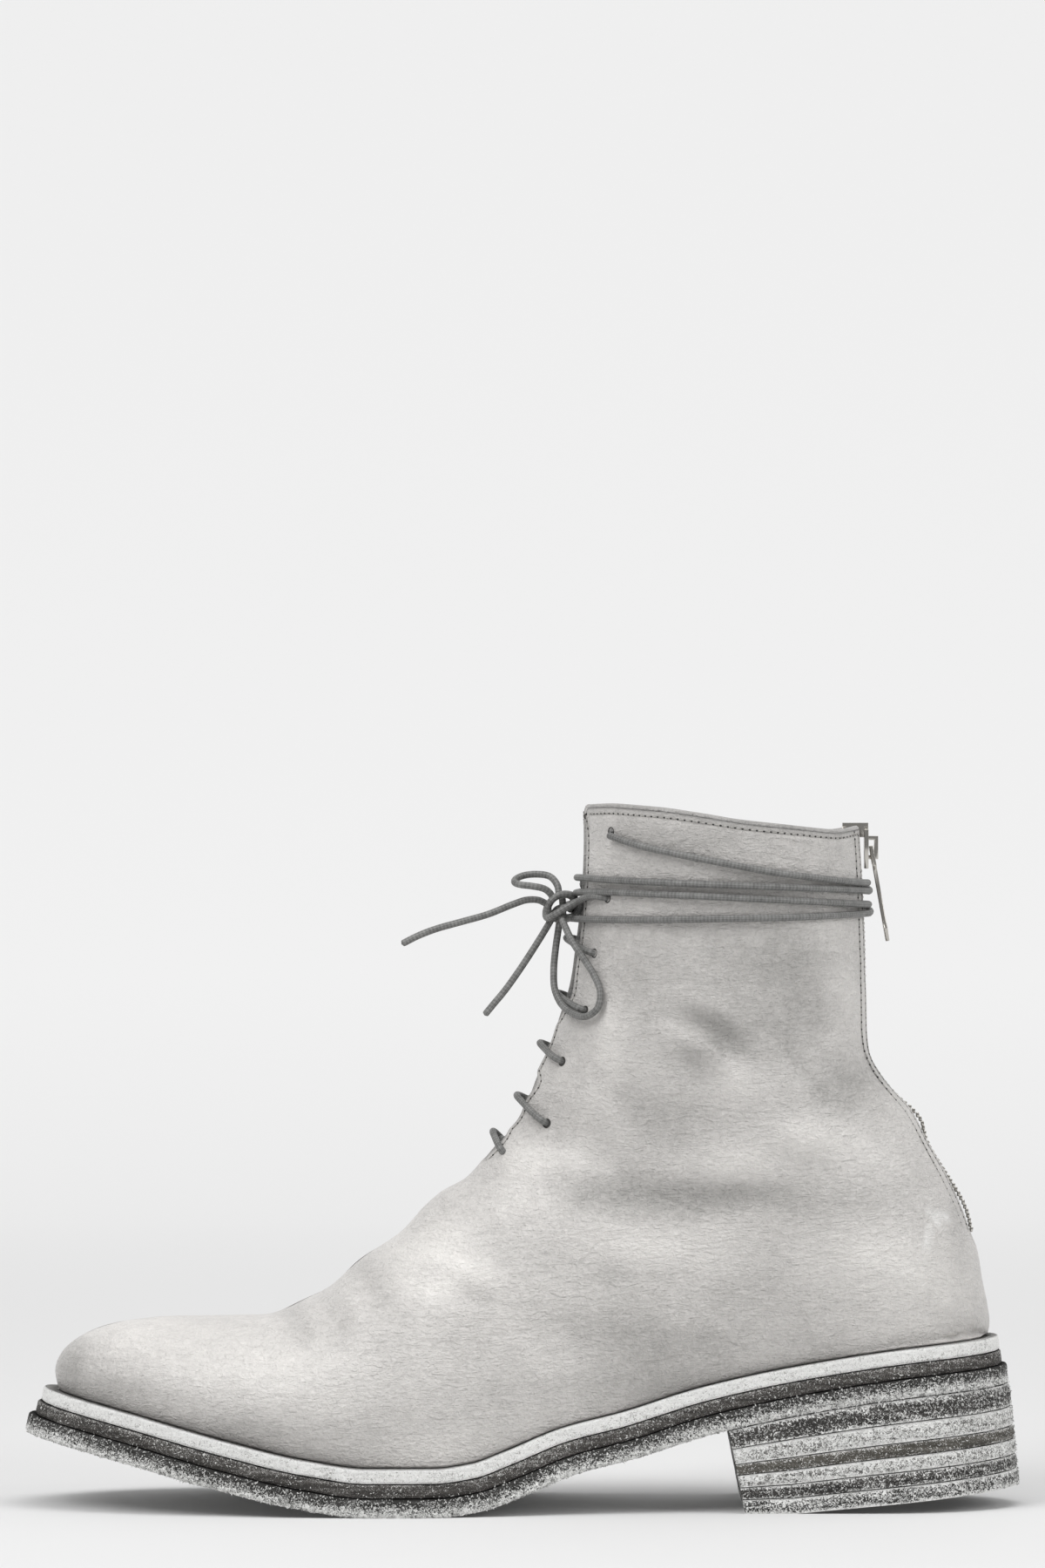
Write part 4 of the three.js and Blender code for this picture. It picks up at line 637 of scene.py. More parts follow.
def matt_paper():
    """Seamless studio paper: matt, even and almost white."""
    material, tree, shader, here = new_material("matt_paper")
    # The paper glows a little where it rises behind the boot, so that the backdrop is as pale as the floor
    depth = add_node(tree, "ShaderNodeSeparateXYZ", "Y", {"Vector": here})
    depth = add_node(tree, "ShaderNodeMapRange", 0, {"Value": depth, "From Min": 0.2, "From Max": 2.1})
    base = add_node(tree, "ShaderNodeValToRGB", "Color", {"Fac": depth}, (
        (0.0, linear("#DDDDDD")), (1.0, linear("#959595"))))
    glow = add_node(tree, "ShaderNodeValToRGB", "Color", {"Fac": depth}, ((0.0, 0.02), (1.0, 0.65)))
    feed(tree, shader, {"Base Color": base, "Roughness": 0.9, "Specular IOR Level": 0.1,
                        "Emission Color": glow, "Emission Strength": 1.0})
    return material


# The upper

EDGE_ROLL = 1.1
ROLL_ANGLES = np.radians([36, 72, 108, 144, 180])
EDGE_STEPS = np.array([0, 0.5, 1.0, 1.5, 1.9, 2.3, 2.9, 3.8, 5.0])

# The facing's edge on the outer side, which the wash has pulled into waves: X at heights
NEAR_EDGE = table(
    "at x",
    (103.3, -12.9), (110.6, -6.3), (114.2, -4.4), (121.5, -0.1), (128.7, 3.5), (132.4, 3.3), (136.0, 3.9),
    (139.6, 5.0), (143.3, 8.5), (147.2, 10.6), (154.6, 14.0), (160.1, 14.8), (168.0, 16.0), (180.0, 17.4),
    (190.0, 18.0), (205.0, 18.2),
)

# The near facing's edge may come this close to the middle, and no edge lies further round than this turn
NEAR_GAP = 0.4
FACING_REACH = 0.45


def facing_turns(fronts, side):
    """The turn of the facing's edge in each section, and how far open the throat is there, 0 to 1."""
    def half(points):
        return read(THROAT, "half", points[..., 2] / BOOT_HEIGHT) * BALL_WIDTH

    def gap(points):
        return np.minimum(half(points), NEAR_GAP) if side < 0 else half(points)

    middle = skin(fronts, 0 * fronts)
    open_share = smooth(half(middle), 0.2, 1.6)
    roll = EDGE_ROLL * open_share

    def in_gap(turn):
        points = skin(fronts, side * turn)
        return np.abs(points[..., 1]) < gap(points) + roll

    def before_edge(turn):
        points = skin(fronts, side * turn)
        return points[..., 0] < read(NEAR_EDGE, "x", points[..., 2]) + roll

    low, high = 0 * fronts, FACING_REACH + 0 * fronts
    edge = find(low, high, in_gap)
    if side < 0:
        pulled = find(low, high, before_edge)
        edge = np.maximum(edge, pulled * open_share)
    return np.where(half(middle) < 0.01, 0, edge), open_share


def zip_turns(fronts, side):
    """The turn of the zip slit's edge in each section, and how far open it is."""
    radius = ZIP_SLIT / 2
    foot = float(back_z(ZIP_START))

    def half(points):
        rise = points[..., 2] - foot
        curve = np.sqrt(np.maximum(0, radius**2 - (radius - np.clip(rise, 0, radius)) ** 2))
        return np.where(rise > 0, curve, 0)

    at_back = skin(fronts, side * (1 - 1e-6) + 0 * fronts)
    open_share = smooth(half(at_back), 0.3, 2.0)

    def beside_slit(turn):
        points = skin(fronts, side * turn)
        return np.abs(points[..., 1]) > half(points) + EDGE_ROLL * open_share

    edge = find(BELLY_TURN + 0 * fronts, 1 + 0 * fronts, beside_slit)
    return np.where(half(at_back) < 0.01, 1, edge), open_share


def section_fronts(count):
    """Where the upper's rows stand: even along the front line, and closer together at the collar."""
    fine = 1 - EDGE_STEPS[::-1] / FRONT_LENGTH
    return np.concatenate([np.linspace(0, fine[0], count, endpoint=False), fine])


def upper_side(side, count, columns):
    """One side of the upper as a grid: fronts, turns, and how far its two edges are open."""
    fronts = section_fronts(count)
    inner_edge, throat_open = facing_turns(fronts, side)
    outer_edge, zip_open = zip_turns(fronts, side)
    fine = inner_edge[:, None] + (outer_edge - inner_edge)[:, None] * np.linspace(0, 1, 241)
    path = skin(fronts[:, None], side * fine)
    steps = np.linalg.norm(np.diff(path, axis=1), axis=2)
    length = np.concatenate([np.zeros((len(fronts), 1)), np.cumsum(steps, axis=1)], axis=1)
    turns = np.empty((len(fronts), columns + 2 * len(EDGE_STEPS)))
    for row, total in enumerate(length[:, -1]):
        scale = min(1.0, total / 40)
        start, stop = EDGE_STEPS * scale, total - EDGE_STEPS[::-1] * scale
        wanted = np.concatenate([start, np.linspace(start[-1], stop[0], columns + 2)[1:-1], stop])
        turns[row] = np.interp(wanted, length[row] + np.linspace(0, 1e-6, 241), fine[row])
    return fronts, turns, throat_open, zip_open


def to_segments(points, path):
    """Distance in X and Z from each point to a path, and how far along the path the nearest place is."""
    best = np.full(points.shape[:-1], 1e9)
    along = np.zeros(points.shape[:-1])
    count = len(path) - 1
    for k in range(count):
        a, b = np.array(path[k]), np.array(path[k + 1])
        run = b - a
        t = np.clip(((points - a) @ run) / (run @ run), 0, 1)
        gap = np.linalg.norm(points - (a + t[..., None] * run), axis=-1)
        nearer = gap < best
        best = np.where(nearer, gap, best)
        along = np.where(nearer, (k + t) / count, along)
    return best, along


# Creases of the outer side: depth (a ridge is positive) and half width in mm, then their path in X and Z
OUTER_CREASES = (
    (-1.3, 3.2, ((44.2, 148.7), (55.9, 145.6), (64.4, 138.6))),
    (1.0, 3.6, ((43.7, 144.3), (53.8, 139.1), (62.4, 131.6), (66.5, 126.4))),
    (-0.9, 6.5, ((79.2, 162.4), (83.4, 148.7), (84.4, 136.0))),
    (-0.8, 5.0, ((91.4, 154.4), (95.1, 141.2))),
    (-0.45, 2.4, ((71.2, 148.7), (80.0, 137.5), (89.9, 123.3))),
    (-1.0, 9.0, ((86.0, 128.5), (104.1, 121.0))),
    (0.7, 5.5, ((74.0, 113.5), (84.4, 112.1), (95.0, 113.5))),
    (-0.8, 4.5, ((70.0, 106.8), (84.4, 104.1), (97.0, 103.0))),
    (-0.8, 4.5, ((45.0, 89.0), (62.0, 94.0), (83.6, 98.1))),
    (-0.9, 5.5, ((3.0, 98.0), (34.6, 95.0), (62.6, 95.5))),
    (0.5, 6.0, ((8.0, 84.0), (30.0, 80.0), (50.0, 77.0))),
    (0.5, 6.0, ((50.0, 104.0), (67.3, 106.9), (78.0, 109.0))),
    (-0.7, 2.6, ((-23.0, 67.2), (-16.0, 64.8), (-9.0, 62.8))),
    (0.6, 3.4, ((-31.0, 76.3), (-17.6, 71.8), (-8.0, 70.0))),
    (-0.5, 2.2, ((-24.0, 71.2), (-15.0, 69.0))),
    (0.6, 6.0, ((-8.0, 108.0), (0.3, 105.4), (10.0, 99.0))),
    (-0.6, 5.0, ((-52.0, 75.0), (-44.0, 66.0), (-38.0, 58.0))),
    (-0.6, 4.0, ((-76.0, 66.0), (-69.0, 58.0), (-64.0, 48.0))),
    (0.5, 4.0, ((-58.0, 72.0), (-50.0, 62.0), (-46.0, 54.0))),
    (-0.5, 6.0, ((8.0, 78.0), (24.0, 72.0), (40.0, 72.0))),
    (0.5, 7.0, ((12.0, 66.0), (30.0, 58.0), (52.0, 56.0))),
    (0.6, 8.0, ((92.0, 80.0), (112.0, 74.0), (126.0, 66.0))),
    (-0.5, 5.0, ((20.0, 132.0), (30.0, 124.0), (38.0, 118.0))),
    (0.5, 5.0, ((14.0, 126.0), (26.0, 118.0), (34.0, 110.0))),
)

# Creases of the inner side, which the photograph leaves to this kind of boot
INNER_CREASES = (
    (-1.2, 3.6, ((46.0, 143.0), (58.0, 141.0), (70.0, 134.0))),
    (0.9, 4.0, ((44.0, 137.0), (58.0, 134.0), (70.0, 126.0))),
    (-0.9, 6.0, ((84.0, 158.0), (88.0, 146.0), (88.0, 134.0))),
    (-0.8, 8.0, ((84.0, 124.0), (100.0, 118.0))),
    (-0.7, 4.5, ((64.0, 108.0), (80.0, 104.0), (96.0, 104.0))),
    (0.6, 6.0, ((40.0, 100.0), (58.0, 104.0), (76.0, 110.0))),
    (-0.7, 3.0, ((-40.0, 64.0), (-30.0, 60.0), (-18.0, 60.0))),
    (0.6, 3.6, ((-44.0, 70.0), (-30.0, 66.0), (-16.0, 66.0))),
    (-0.6, 4.0, ((-78.0, 62.0), (-70.0, 54.0), (-62.0, 46.0))),
    (0.5, 7.0, ((20.0, 70.0), (40.0, 62.0), (60.0, 60.0))),
)

# Soft clouds on the outer side, partly uneven wax and dye and partly painted highlights and painted shade:
# tone from dark -1 to light 1, centre and half sizes in X and Z
OUTER_CLOUDS = (
    (0.5, -78, 43, 29, 9), (0.45, -117, 52, 16, 6), (-0.6, -136, 43, 5, 10), (-0.45, -124, 36, 18, 4),
    (-0.3, -78, 25, 42, 4), (0.35, -21, 21, 16, 6), (-0.6, 42, 38, 36, 6), (-0.5, 26, 60, 18, 8),
    (0.8, -29, 78, 10, 6), (0.5, -17, 74, 7, 5), (0.7, -26, 67, 10, 4), (0.55, 0, 95, 10, 7),
    (0.3, 16, 106, 8, 6), (-0.4, 31, 87, 23, 6), (-0.3, 10, 77, 16, 5), (0.6, 26, 142, 5, 16),
    (0.35, 23, 191, 5, 13), (-0.5, 52, 200, 29, 7), (-0.35, 68, 189, 10, 5), (0.3, 92, 174, 10, 6),
    (-0.6, 78, 165, 21, 9), (-0.55, 70, 145, 16, 16), (0.6, 63, 129, 10, 7), (-0.7, 56, 138, 9, 6),
    (0.35, 96, 160, 5, 16), (-0.6, 100, 128, 12, 8), (0.45, 86, 106, 21, 6), (0.3, 60, 102, 16, 5),
    (-0.5, 78, 94, 21, 6), (-0.4, 42, 116, 16, 10), (0.55, 117, 69, 16, 18), (0.35, 94, 74, 16, 10),
    (-0.35, 131, 87, 4, 16), (-0.3, 104, 43, 26, 5), (-0.35, 73, 67, 16, 10), (0.3, 10, 46, 16, 8),
    (0.3, 49, 77, 16, 6), (-0.3, 34, 158, 10, 13),
    (-0.55, 35, 95, 23, 5), (0.35, 26, 78, 23, 5), (-0.5, 42, 51, 29, 7),
    (0.5, 2, 104, 7, 4), (0.35, -21, 83, 5, 4),
)


def relief(points, side):
    """Height over the smooth leather in mm, and a tone that paints shade into the creases' troughs and
    highlight onto their ridges, with the clouds of uneven dye and painted light on the outer side.
    """
    flat = points[..., [0, 2]]
    height = np.zeros(points.shape[:-1])
    for depth, width, path in (OUTER_CREASES if side < 0 else INNER_CREASES):
        gap, along = to_segments(flat, path)
        taper = np.sin(math.pi * np.clip(along, 0.02, 0.98)) ** 0.5
        swell = np.exp(-((gap / width) ** 2)) - 0.35 * np.exp(-(((gap - 1.9 * width) / (0.9 * width)) ** 2))
        height += depth * swell * taper
    # Troughs are painted darker and ridges lighter: painted shade and painted highlight on the creases
    tone = height * 0.4
    if side < 0:
        for level, x, z, wide, tall in OUTER_CLOUDS:
            tone += level * np.exp(-((flat[..., 0] - x) / wide) ** 2 - ((flat[..., 1] - z) / tall) ** 2)
    # The tone is kept from going far from the middle grey
    return height, np.tanh(tone * 0.8)


def ripples(points, size, seed):
    """Smooth noise at each point, from -1 to 1."""
    flat = points.reshape(-1, 3) / size + seed
    return np.array([noise.noise(p) for p in flat.tolist()]).reshape(points.shape[:-1])


COLLAR_CORNER = 2.6
CORNER_FADE = 12


def round_corner(points, fronts):
    """The same points, with the collar's front corners cut round."""
    gaps = np.linalg.norm(np.diff(points, axis=1), axis=2)
    from_throat = np.concatenate([np.zeros((len(fronts), 1)), np.cumsum(gaps, axis=1)], axis=1)
    away = 1 - np.clip(from_throat / COLLAR_CORNER, 0, 1)
    near_collar = 1 - smooth((1 - fronts) * FRONT_LENGTH, 0, CORNER_FADE)
    drop = COLLAR_CORNER * (1 - np.sqrt(1 - away**2)) * near_collar[:, None]
    lowered = points.copy()
    lowered[..., 2] -= drop
    return lowered


SCUFF = ((121.9, 89.6), (127.8, 87.6), (122.0, 85.0), (120.8, 79.0))


def upper_grid(side, count, columns):
    """Points of one side of the upper, with its rolled edges, and the values that its leather reads."""
    fronts, turns, throat_open, zip_open = upper_side(side, count, columns)
    grid = fronts[:, None] + 0 * turns
    base = skin(grid, side * turns)
    eased = base.copy()
    for _ in range(8):
        eased[1:-1] = (eased[:-2] + 2 * eased[1:-1] + eased[2:]) / 4
    on_seat = smooth(read(SECTIONS, "end", fronts), 0.5, 0.9)[:, None] * (1 - smooth(grid, 0.74, 0.84))
    ease = on_seat * smooth(turns, 0.15, 0.45) * (1 - smooth(turns, 0.90, 0.98))
    base = base + (eased - base) * ease[..., None]
    outward = unit(base - under_skin(grid, side * turns, 1.0))
    height, tone = relief(base, side)
    height = height + 0.30 * ripples(base, 17, side * 3.1) + 0.12 * ripples(base, 6, side * 7.7)
    span = np.linalg.norm(base[:, 0] - base[:, -1], axis=1)[:, None]
    from_feather = smooth(base[..., 2] - np.interp(base[..., 0] - CENTRING, FEATHER_X, FEATHER_Z), 0.5, 9.0)
    near_collar = smooth(1 - grid, 0.004, 0.03)
    away = np.minimum(from_feather, near_collar) * smooth(span, 2, 25)
    middle = smooth(turns, 0.0, 0.12)
    height = height * away * np.where(throat_open[:, None] > 0, middle, 0.25 + 0.75 * middle)
    ends = 1 - smooth(turns, 0.93, 1.0)
    height = height * ends
    columns_gap = np.linalg.norm(np.diff(base, axis=1), axis=2)
    from_throat = np.concatenate([np.zeros((len(fronts), 1)), np.cumsum(columns_gap, axis=1)], axis=1)
    from_zip = from_throat[:, -1:] - from_throat
    from_collar = (1 - grid) * FRONT_LENGTH
    seam = np.minimum(np.where(throat_open[:, None] > 0.5, from_throat, 99),
                      np.minimum(np.where(zip_open[:, None] > 0.5, from_zip, 99), from_collar))
    height = height - 0.28 * np.exp(-(((seam - 2.0) / 0.55) ** 2))
    points = round_corner(base + outward * height[..., None], fronts)
    edge = np.exp(-((seam / 0.8) ** 2)) * 0.45
    scuff_gap, _ = to_segments(base[..., [0, 2]], SCUFF)
    scuff = np.exp(-((scuff_gap / 0.9) ** 2)) * (0.8 if side < 0 else 0)
    return fronts, turns, points, outward, {"tone": tone, "edge": edge, "scuff": scuff}, throat_open, zip_open


def roll(points, outward, toward, open_share, radius=EDGE_ROLL):
    """Rings that turn an edge over from the outer face to the inner one."""
    rings = []
    for angle in ROLL_ANGLES:
        shift = toward * math.sin(angle) - outward * (1 - math.cos(angle))
        rings.append(points + shift * (radius * open_share)[:, None])
    return np.stack(rings, axis=1)


FEATHER_SHARES = footprint(np.linspace(0, 1, 400), "feather")[0]
FEATHER_X, FEATHER_Z = sole_point(FEATHER_SHARES, UPPER_SEAT)


def make_upper(leather, rows, columns):
    """The whole-cut upper: two sides that meet on the toe and the counter, and part at the throat and zip."""
    parts, values = [], {"tone": [], "edge": [], "scuff": []}

    def add(points, faces, source):
        parts.append((points, faces))
        for key in values:
            values[key].append(np.broadcast_to(source[key], points.shape[:-1]).ravel())

    for side in (-1, 1):
        _, turns, points, outward, marks, throat_open, zip_open = upper_grid(side, rows, columns)
        count, across = turns.shape
        flipped = side > 0
        add(points, quads(count, across, turned=flipped), marks)
        for column, inner, open_share in ((0, 1, throat_open), (-1, -2, zip_open)):
            toward = unit(points[:, column] - points[:, inner])
            rings = roll(points[:, column], outward[:, column], toward, open_share)
            strip = np.concatenate([points[:, column][:, None], rings], axis=1)
            edge_marks = {key: marks[key][:, column][:, None] for key in marks}
            add(strip, quads(count, strip.shape[1], turned=flipped != (column == 0)), edge_marks)
        toward = unit(points[-1] - points[-2])
        rings = roll(points[-1], outward[-1], toward, np.ones(across))
        strip = np.concatenate([points[-1][:, None], rings], axis=1)
        edge_marks = {key: marks[key][-1][:, None] for key in marks}
        add(strip, quads(across, strip.shape[1], turned=flipped), edge_marks)
        on_sole = read(SECTIONS, "end", section_fronts(rows)) <= 1.0
        foot = points[on_sole, -1]
        inward = np.stack([0 * foot[:, 0], -np.sign(foot[:, 1]) * 1.0, 0 * foot[:, 0]], axis=1)
        tuck = np.stack([foot, foot + inward * 0.3 - [0, 0, 0.35], foot + inward * 2.5 - [0, 0, 0.5]], axis=1)
        edge_marks = {key: marks[key][on_sole, -1][:, None] for key in marks}
        add(tuck, quads(len(foot), 3, turned=flipped), edge_marks)
    joined = {key: np.concatenate(value) for key, value in values.items()}
    upper = add_mesh("upper_leather_shell", parts, leather, joined, merge=0.02)
    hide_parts("upper")
    return upper


def make_lining(fleece, rows=110, columns=60):
    """The lining inside the upper, from the insole to the rolled collar."""
    parts = []
    for side in (-1, 1):
        fronts, turns, _, _ = upper_side(side, rows, columns)
        grid = fronts[:, None] + 0 * turns
        keep = fronts > 0.03
        points = round_corner(under_skin(grid, side * turns, 2 * EDGE_ROLL), fronts)[keep]
        points = points - [0, 0, 0.4]
        parts.append((points, quads(len(points), turns.shape[1], turned=side < 0)))
    lining = add_mesh("upper_lining", parts, fleece, merge=0.02)
    return lining


TONGUE_START = 0.497
TONGUE_END = 0.985
TONGUE_TURN = 0.25
TONGUE_DEPTH = 4.4
TONGUE_THICKNESS = 2.0


def make_tongue(leather):
    """The tongue, drawn back far enough for the laces to pass between it and the facings."""
    fronts = np.linspace(TONGUE_START, TONGUE_END, 90)
    turns = np.linspace(-TONGUE_TURN, TONGUE_TURN, 41)
    grid, across = np.meshgrid(fronts, turns, indexing="ij")
    ease = smooth(grid, TONGUE_START, TONGUE_START + 0.06)
    depth = mix(2.65, TONGUE_DEPTH, ease)
    outer = under_skin(grid, across, depth)
    inner = under_skin(grid, across, depth + TONGUE_THICKNESS)
    rim = np.stack([outer[-1], inner[-1]], axis=1)
    near = np.stack([outer[:, 0], inner[:, 0]], axis=1)
    far = np.stack([outer[:, -1], inner[:, -1]], axis=1)
    parts = [(outer, quads(90, 41)), (inner, quads(90, 41, turned=True)), (rim, quads(41, 2)),
             (near, quads(90, 2, turned=True)), (far, quads(90, 2))]
    tongue = add_mesh("tongue_leather", parts, leather, merge=0.02)
    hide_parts("tongue")
    return tongue


# Stitches


def capsule(length, radius, sides=6, rings=5):
    """A short thread along X with round ends, and its faces."""
    angles = np.linspace(0, 2 * math.pi, sides, endpoint=False)
    ends = np.linspace(0, math.pi, rings)
    x = -np.cos(ends) * length / 2
    r = np.maximum(np.sin(ends), 0.02) ** 0.6 * radius
    points = np.stack([np.repeat(x, sides), np.outer(r, np.cos(angles)).ravel(),
                       np.outer(r, np.sin(angles)).ravel()], axis=1)
    faces = []
    for ring in range(rings - 1):
        for k in range(sides):
            after = (k + 1) % sides
            faces.append((ring * sides + k, ring * sides + after, (ring + 1) * sides + after,
                          (ring + 1) * sides + k))
    return points, np.array(faces)


def stitches(path, outward, pitch, length, radius, lift=0.1, slant=0.0):
    """Threads laid along a path of points, a pitch apart, and dark dots between them that paint the shade in
    the needle holes.
    """
    steps = np.linalg.norm(np.diff(path, axis=0), axis=1)
    along = np.concatenate([[0], np.cumsum(steps)])
    places = np.arange(pitch / 2, along[-1], pitch)
    shape, faces = capsule(length, radius)
    dot, dot_faces = capsule(0.75, 0.30)
    parts, pricks = [], []
    for place_at in places:
        centre, up = (np.array([np.interp(place_at, along, values[:, k]) for k in range(3)])
                      for values in (path, outward))
        ahead = np.array([np.interp(min(place_at + 0.3, along[-1]), along, path[:, k]) for k in range(3)])
        run = unit(ahead - centre)
        if not np.any(run):
            continue
        up = unit(up - run * (up @ run))
        across = np.cross(up, run)
        run = unit(run + across * slant)
        across = np.cross(up, run)
        parts.append((centre + up * lift + shape @ np.stack([run, across, up]), faces))
        # Each needle hole is a dark dot: painted shade in the hole
        pricks.append((centre + run * pitch / 2 + up * 0.02 + dot @ np.stack([run, across, up]), dot_faces))
    return parts, pricks


def make_seams(thread, edge_dye_and_hole_shade, rows, columns, pitch):
    """The rows of stitches at the collar, down both facings and beside the zip."""
    parts, pricks = [], []
    for side in (-1, 1):
        _, _, points, outward, _, throat_open, zip_open = upper_grid(side, rows, columns)
        gap = np.linalg.norm(np.diff(points, axis=1), axis=2)
        across = np.concatenate([np.zeros((len(points), 1)), np.cumsum(gap, axis=1)], axis=1)
        collar_row = len(points) - 1 - int(np.argmin(np.abs(EDGE_STEPS - 1.9)))
        rows_of_thread = [(points[collar_row, 4:-4], outward[collar_row, 4:-4])]

        def column_path(distance, rows_open, from_zip):
            reach = across[:, -1:] - across if from_zip else across
            picked, up = [], []
            for row in np.nonzero(rows_open > 0.9)[0]:
                order = reach[row][::-1] if from_zip else reach[row]
                line = points[row][::-1] if from_zip else points[row]
                normal = outward[row][::-1] if from_zip else outward[row]
                picked.append([np.interp(distance, order, line[:, k]) for k in range(3)])
                up.append([np.interp(distance, order, normal[:, k]) for k in range(3)])
            return np.array(picked)[:-3], np.array(up)[:-3]

        for distance, open_share, from_zip in ((1.9, throat_open, False), (1.9, zip_open, True),
                                               (7.5, zip_open, True)):
            rows_of_thread.append(column_path(distance, open_share, from_zip))
        for path, up in rows_of_thread:
            threads, holes = stitches(path, up, pitch, pitch * 0.74, 0.26)
            parts += threads
            pricks += holes
    for name, pieces, material in (("seam_stitches", parts, thread), ("needle_holes", pricks, edge_dye_and_hole_shade)):
        add_mesh(name, pieces, material)


# The sole


def edge_noise(points, coarse, fine, seed):
    return (coarse * ripples(points, 5.0, seed) + fine * ripples(points, 0.9, seed + 5.0))


def slab(levels, wobble=(0.0, 0.0), seed=1.0):
    """A closed slab: levels from bottom to top, each with the points of its outer and inner edge."""
    outer = np.stack([level[0] for level in levels])
    inner = np.stack([level[1] for level in levels])
    middle = (outer + inner) / 2
    if any(wobble):
        for edge in (outer, inner):
            run = np.gradient(edge, axis=1)
            out = unit(np.stack([run[..., 1], -run[..., 0], 0 * run[..., 0]], axis=-1))
            out = out * np.sign(np.sum(out * (edge - middle), axis=-1, keepdims=True) + 1e-9)
            edge += out * edge_noise(edge, wobble[0], wobble[1], seed)[..., None]
    height, count = outer.shape[:2]
    low = np.stack([outer[0], inner[0]], axis=1)
    top = np.stack([outer[-1], inner[-1]], axis=1)
    start = np.stack([outer[:, 0], inner[:, 0]], axis=1)
    stop = np.stack([outer[:, -1], inner[:, -1]], axis=1)
    return [(outer, quads(height, count)), (inner, quads(height, count, turned=True)),
            (low, quads(count, 2, turned=True)), (top, quads(count, 2)),
            (start, quads(height, 2, turned=True)), (stop, quads(height, 2))]


def sole_stations(count):
    return (1 - np.cos(np.pi * np.linspace(0, 1, count))) / 2


def sole_level(height, name, extra=0.0, count=420):
    share, _, outer, inner, swing = footprint(sole_stations(count), name, extra)
    x, z = sole_point(share, height)
    x = x + CENTRING
    return (np.stack([x, swing - outer, z], axis=1), np.stack([x, swing + inner, z], axis=1))


def sole_layer(name, low, high, ease, rings):
    """Levels of a layer whose upper and lower edges are eased by so many millimetres."""
    levels = []
    for k in range(rings + 1):
        up = k / rings
        reach = min(up, 1 - up) * (high - low)
        back = ease - math.sqrt(max(0.0, ease**2 - max(0.0, ease - reach) ** 2))
        levels.append(sole_level(mix(low, high, up), name, back))
    return levels


def make_sole_edge(part, node, name, low, high, ease, wobble, material, seed, chalk):
    levels = sole_layer(name, low, high, ease, 10)
    parts = slab(levels, wobble, seed)
    heights = np.concatenate([np.asarray(points).reshape(-1, 3) for points, _ in parts])
    above = (heights[:, 2] - np.interp(heights[:, 0], *tread_line())) / (high - low)
    values = {"chalk": chalk(np.clip(above - low / (high - low), 0, 1))}
    piece = add_mesh(part, parts, material, values, merge=0.01)
    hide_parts(node)
    return piece


def tread_line():
    x, z = tread_point(np.linspace(0, 1, 300))
    return x + CENTRING, z


def heel_level(depth, bulge, count=160):
    u = np.concatenate([np.linspace(0, HEEL_FLAT, 20, endpoint=False),
                        HEEL_FLAT + (1 - HEEL_FLAT) * np.sin(np.linspace(0, math.pi / 2, count - 20))])
    breast = mix(BREAST_TOP, BREAST_BOTTOM, depth)
    share, _, outer, inner, swing = footprint(mix(breast, 1, u), "outsole")
    top_x, top_z = sole_point(share, -JOINT)
    worn = np.maximum(0, (u - HEEL_FLAT) / (1 - HEEL_FLAT))
    z = mix(top_z, HEEL_WEAR * worn, depth)
    x = mix(top_x, TOE_X + share * SOLE_LENGTH, depth) + (HEEL_FLARE * depth + bulge) * u**3 + CENTRING
    flare = np.where(u < 1, (HEEL_FLARE * depth / 4 + bulge) * np.minimum(1, 4 * (1 - u)), 0)
    return (np.stack([x, swing - outer - flare, z], axis=1), np.stack([x, swing + inner + flare, z], axis=1))


def make_lift(name, start, stop, material, seed, chalk):
    height = float(sole_point(BREAST_TOP, -JOINT)[1])
    joint = 0.22 / height if stop < 1 else 0
    levels = []
    rings = 8
    for k in range(rings + 1):
        up = k / rings
        reach = min(up, 1 - up) * 2
        levels.append(heel_level(mix(stop - joint, start, up), 0.5 * math.sqrt(reach) - 0.1))
    parts = slab(levels, (0.22, 0.16), seed)
    flat = np.concatenate([np.asarray(points).reshape(-1, 3) for points, _ in parts])
    whole = [heel_level(depth, 0) for depth in (start, stop)]
    top = np.interp(flat[:, 0], whole[0][0][:, 0], whole[0][0][:, 2])
    low = np.interp(flat[:, 0], whole[1][0][:, 0], whole[1][0][:, 2])
    values = {"chalk": chalk(np.clip((flat[:, 2] - low) / np.maximum(top - low, 0.1), 0, 1))}
    piece = add_mesh("stacked_" + name, parts, material, values, merge=0.01)
    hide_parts(name)
    return piece


# Laces

LACE_RADIUS = LACE_DIAMETER / 2
LACE_LIFT = LACE_RADIUS + 0.35


def lace_tube(points, sides=14, step=0.45, radius=LACE_RADIUS):
    """A round lace along a smooth path, with round tips, and how far along and round each point lies."""
    rough = spline(points, 40)
    total = float(np.linalg.norm(np.diff(rough, axis=0), axis=1).sum())
    path = spline(points, max(8, int(total / step)))
    run = unit(np.gradient(path, axis=0))
    side = np.cross(run[0], [0.0, 0.0, 1.0])
    side = unit(side if np.linalg.norm(side) > 0.1 else np.cross(run[0], [0.0, 1.0, 0.0]))
    sides_at = []
    for ahead in run:
        side = unit(side - ahead * (side @ ahead))
        sides_at.append(side)
    sides_at = np.array(sides_at)
    ups = np.cross(run, sides_at)
    angles = np.linspace(0, 2 * math.pi, sides + 1)
    along = np.concatenate([[0], np.cumsum(np.linalg.norm(np.diff(path, axis=0), axis=1))])
    tip = np.minimum(along, along[-1] - along)
    thick = radius * np.sqrt(np.clip(1 - (1 - np.clip(tip / 0.8, 0, 1)) ** 2, 0.0, 1))
    ring = (sides_at[:, None] * np.cos(angles)[None, :, None] + ups[:, None] * np.sin(angles)[None, :, None])
    points = path[:, None] + ring * thick[:, None, None]
    uv = np.stack(np.broadcast_arrays(along[:, None], angles[None, :] / (2 * math.pi)), axis=-1)
    return points, quads(len(path), sides + 1, turned=True), uv, path, float(along[-1])


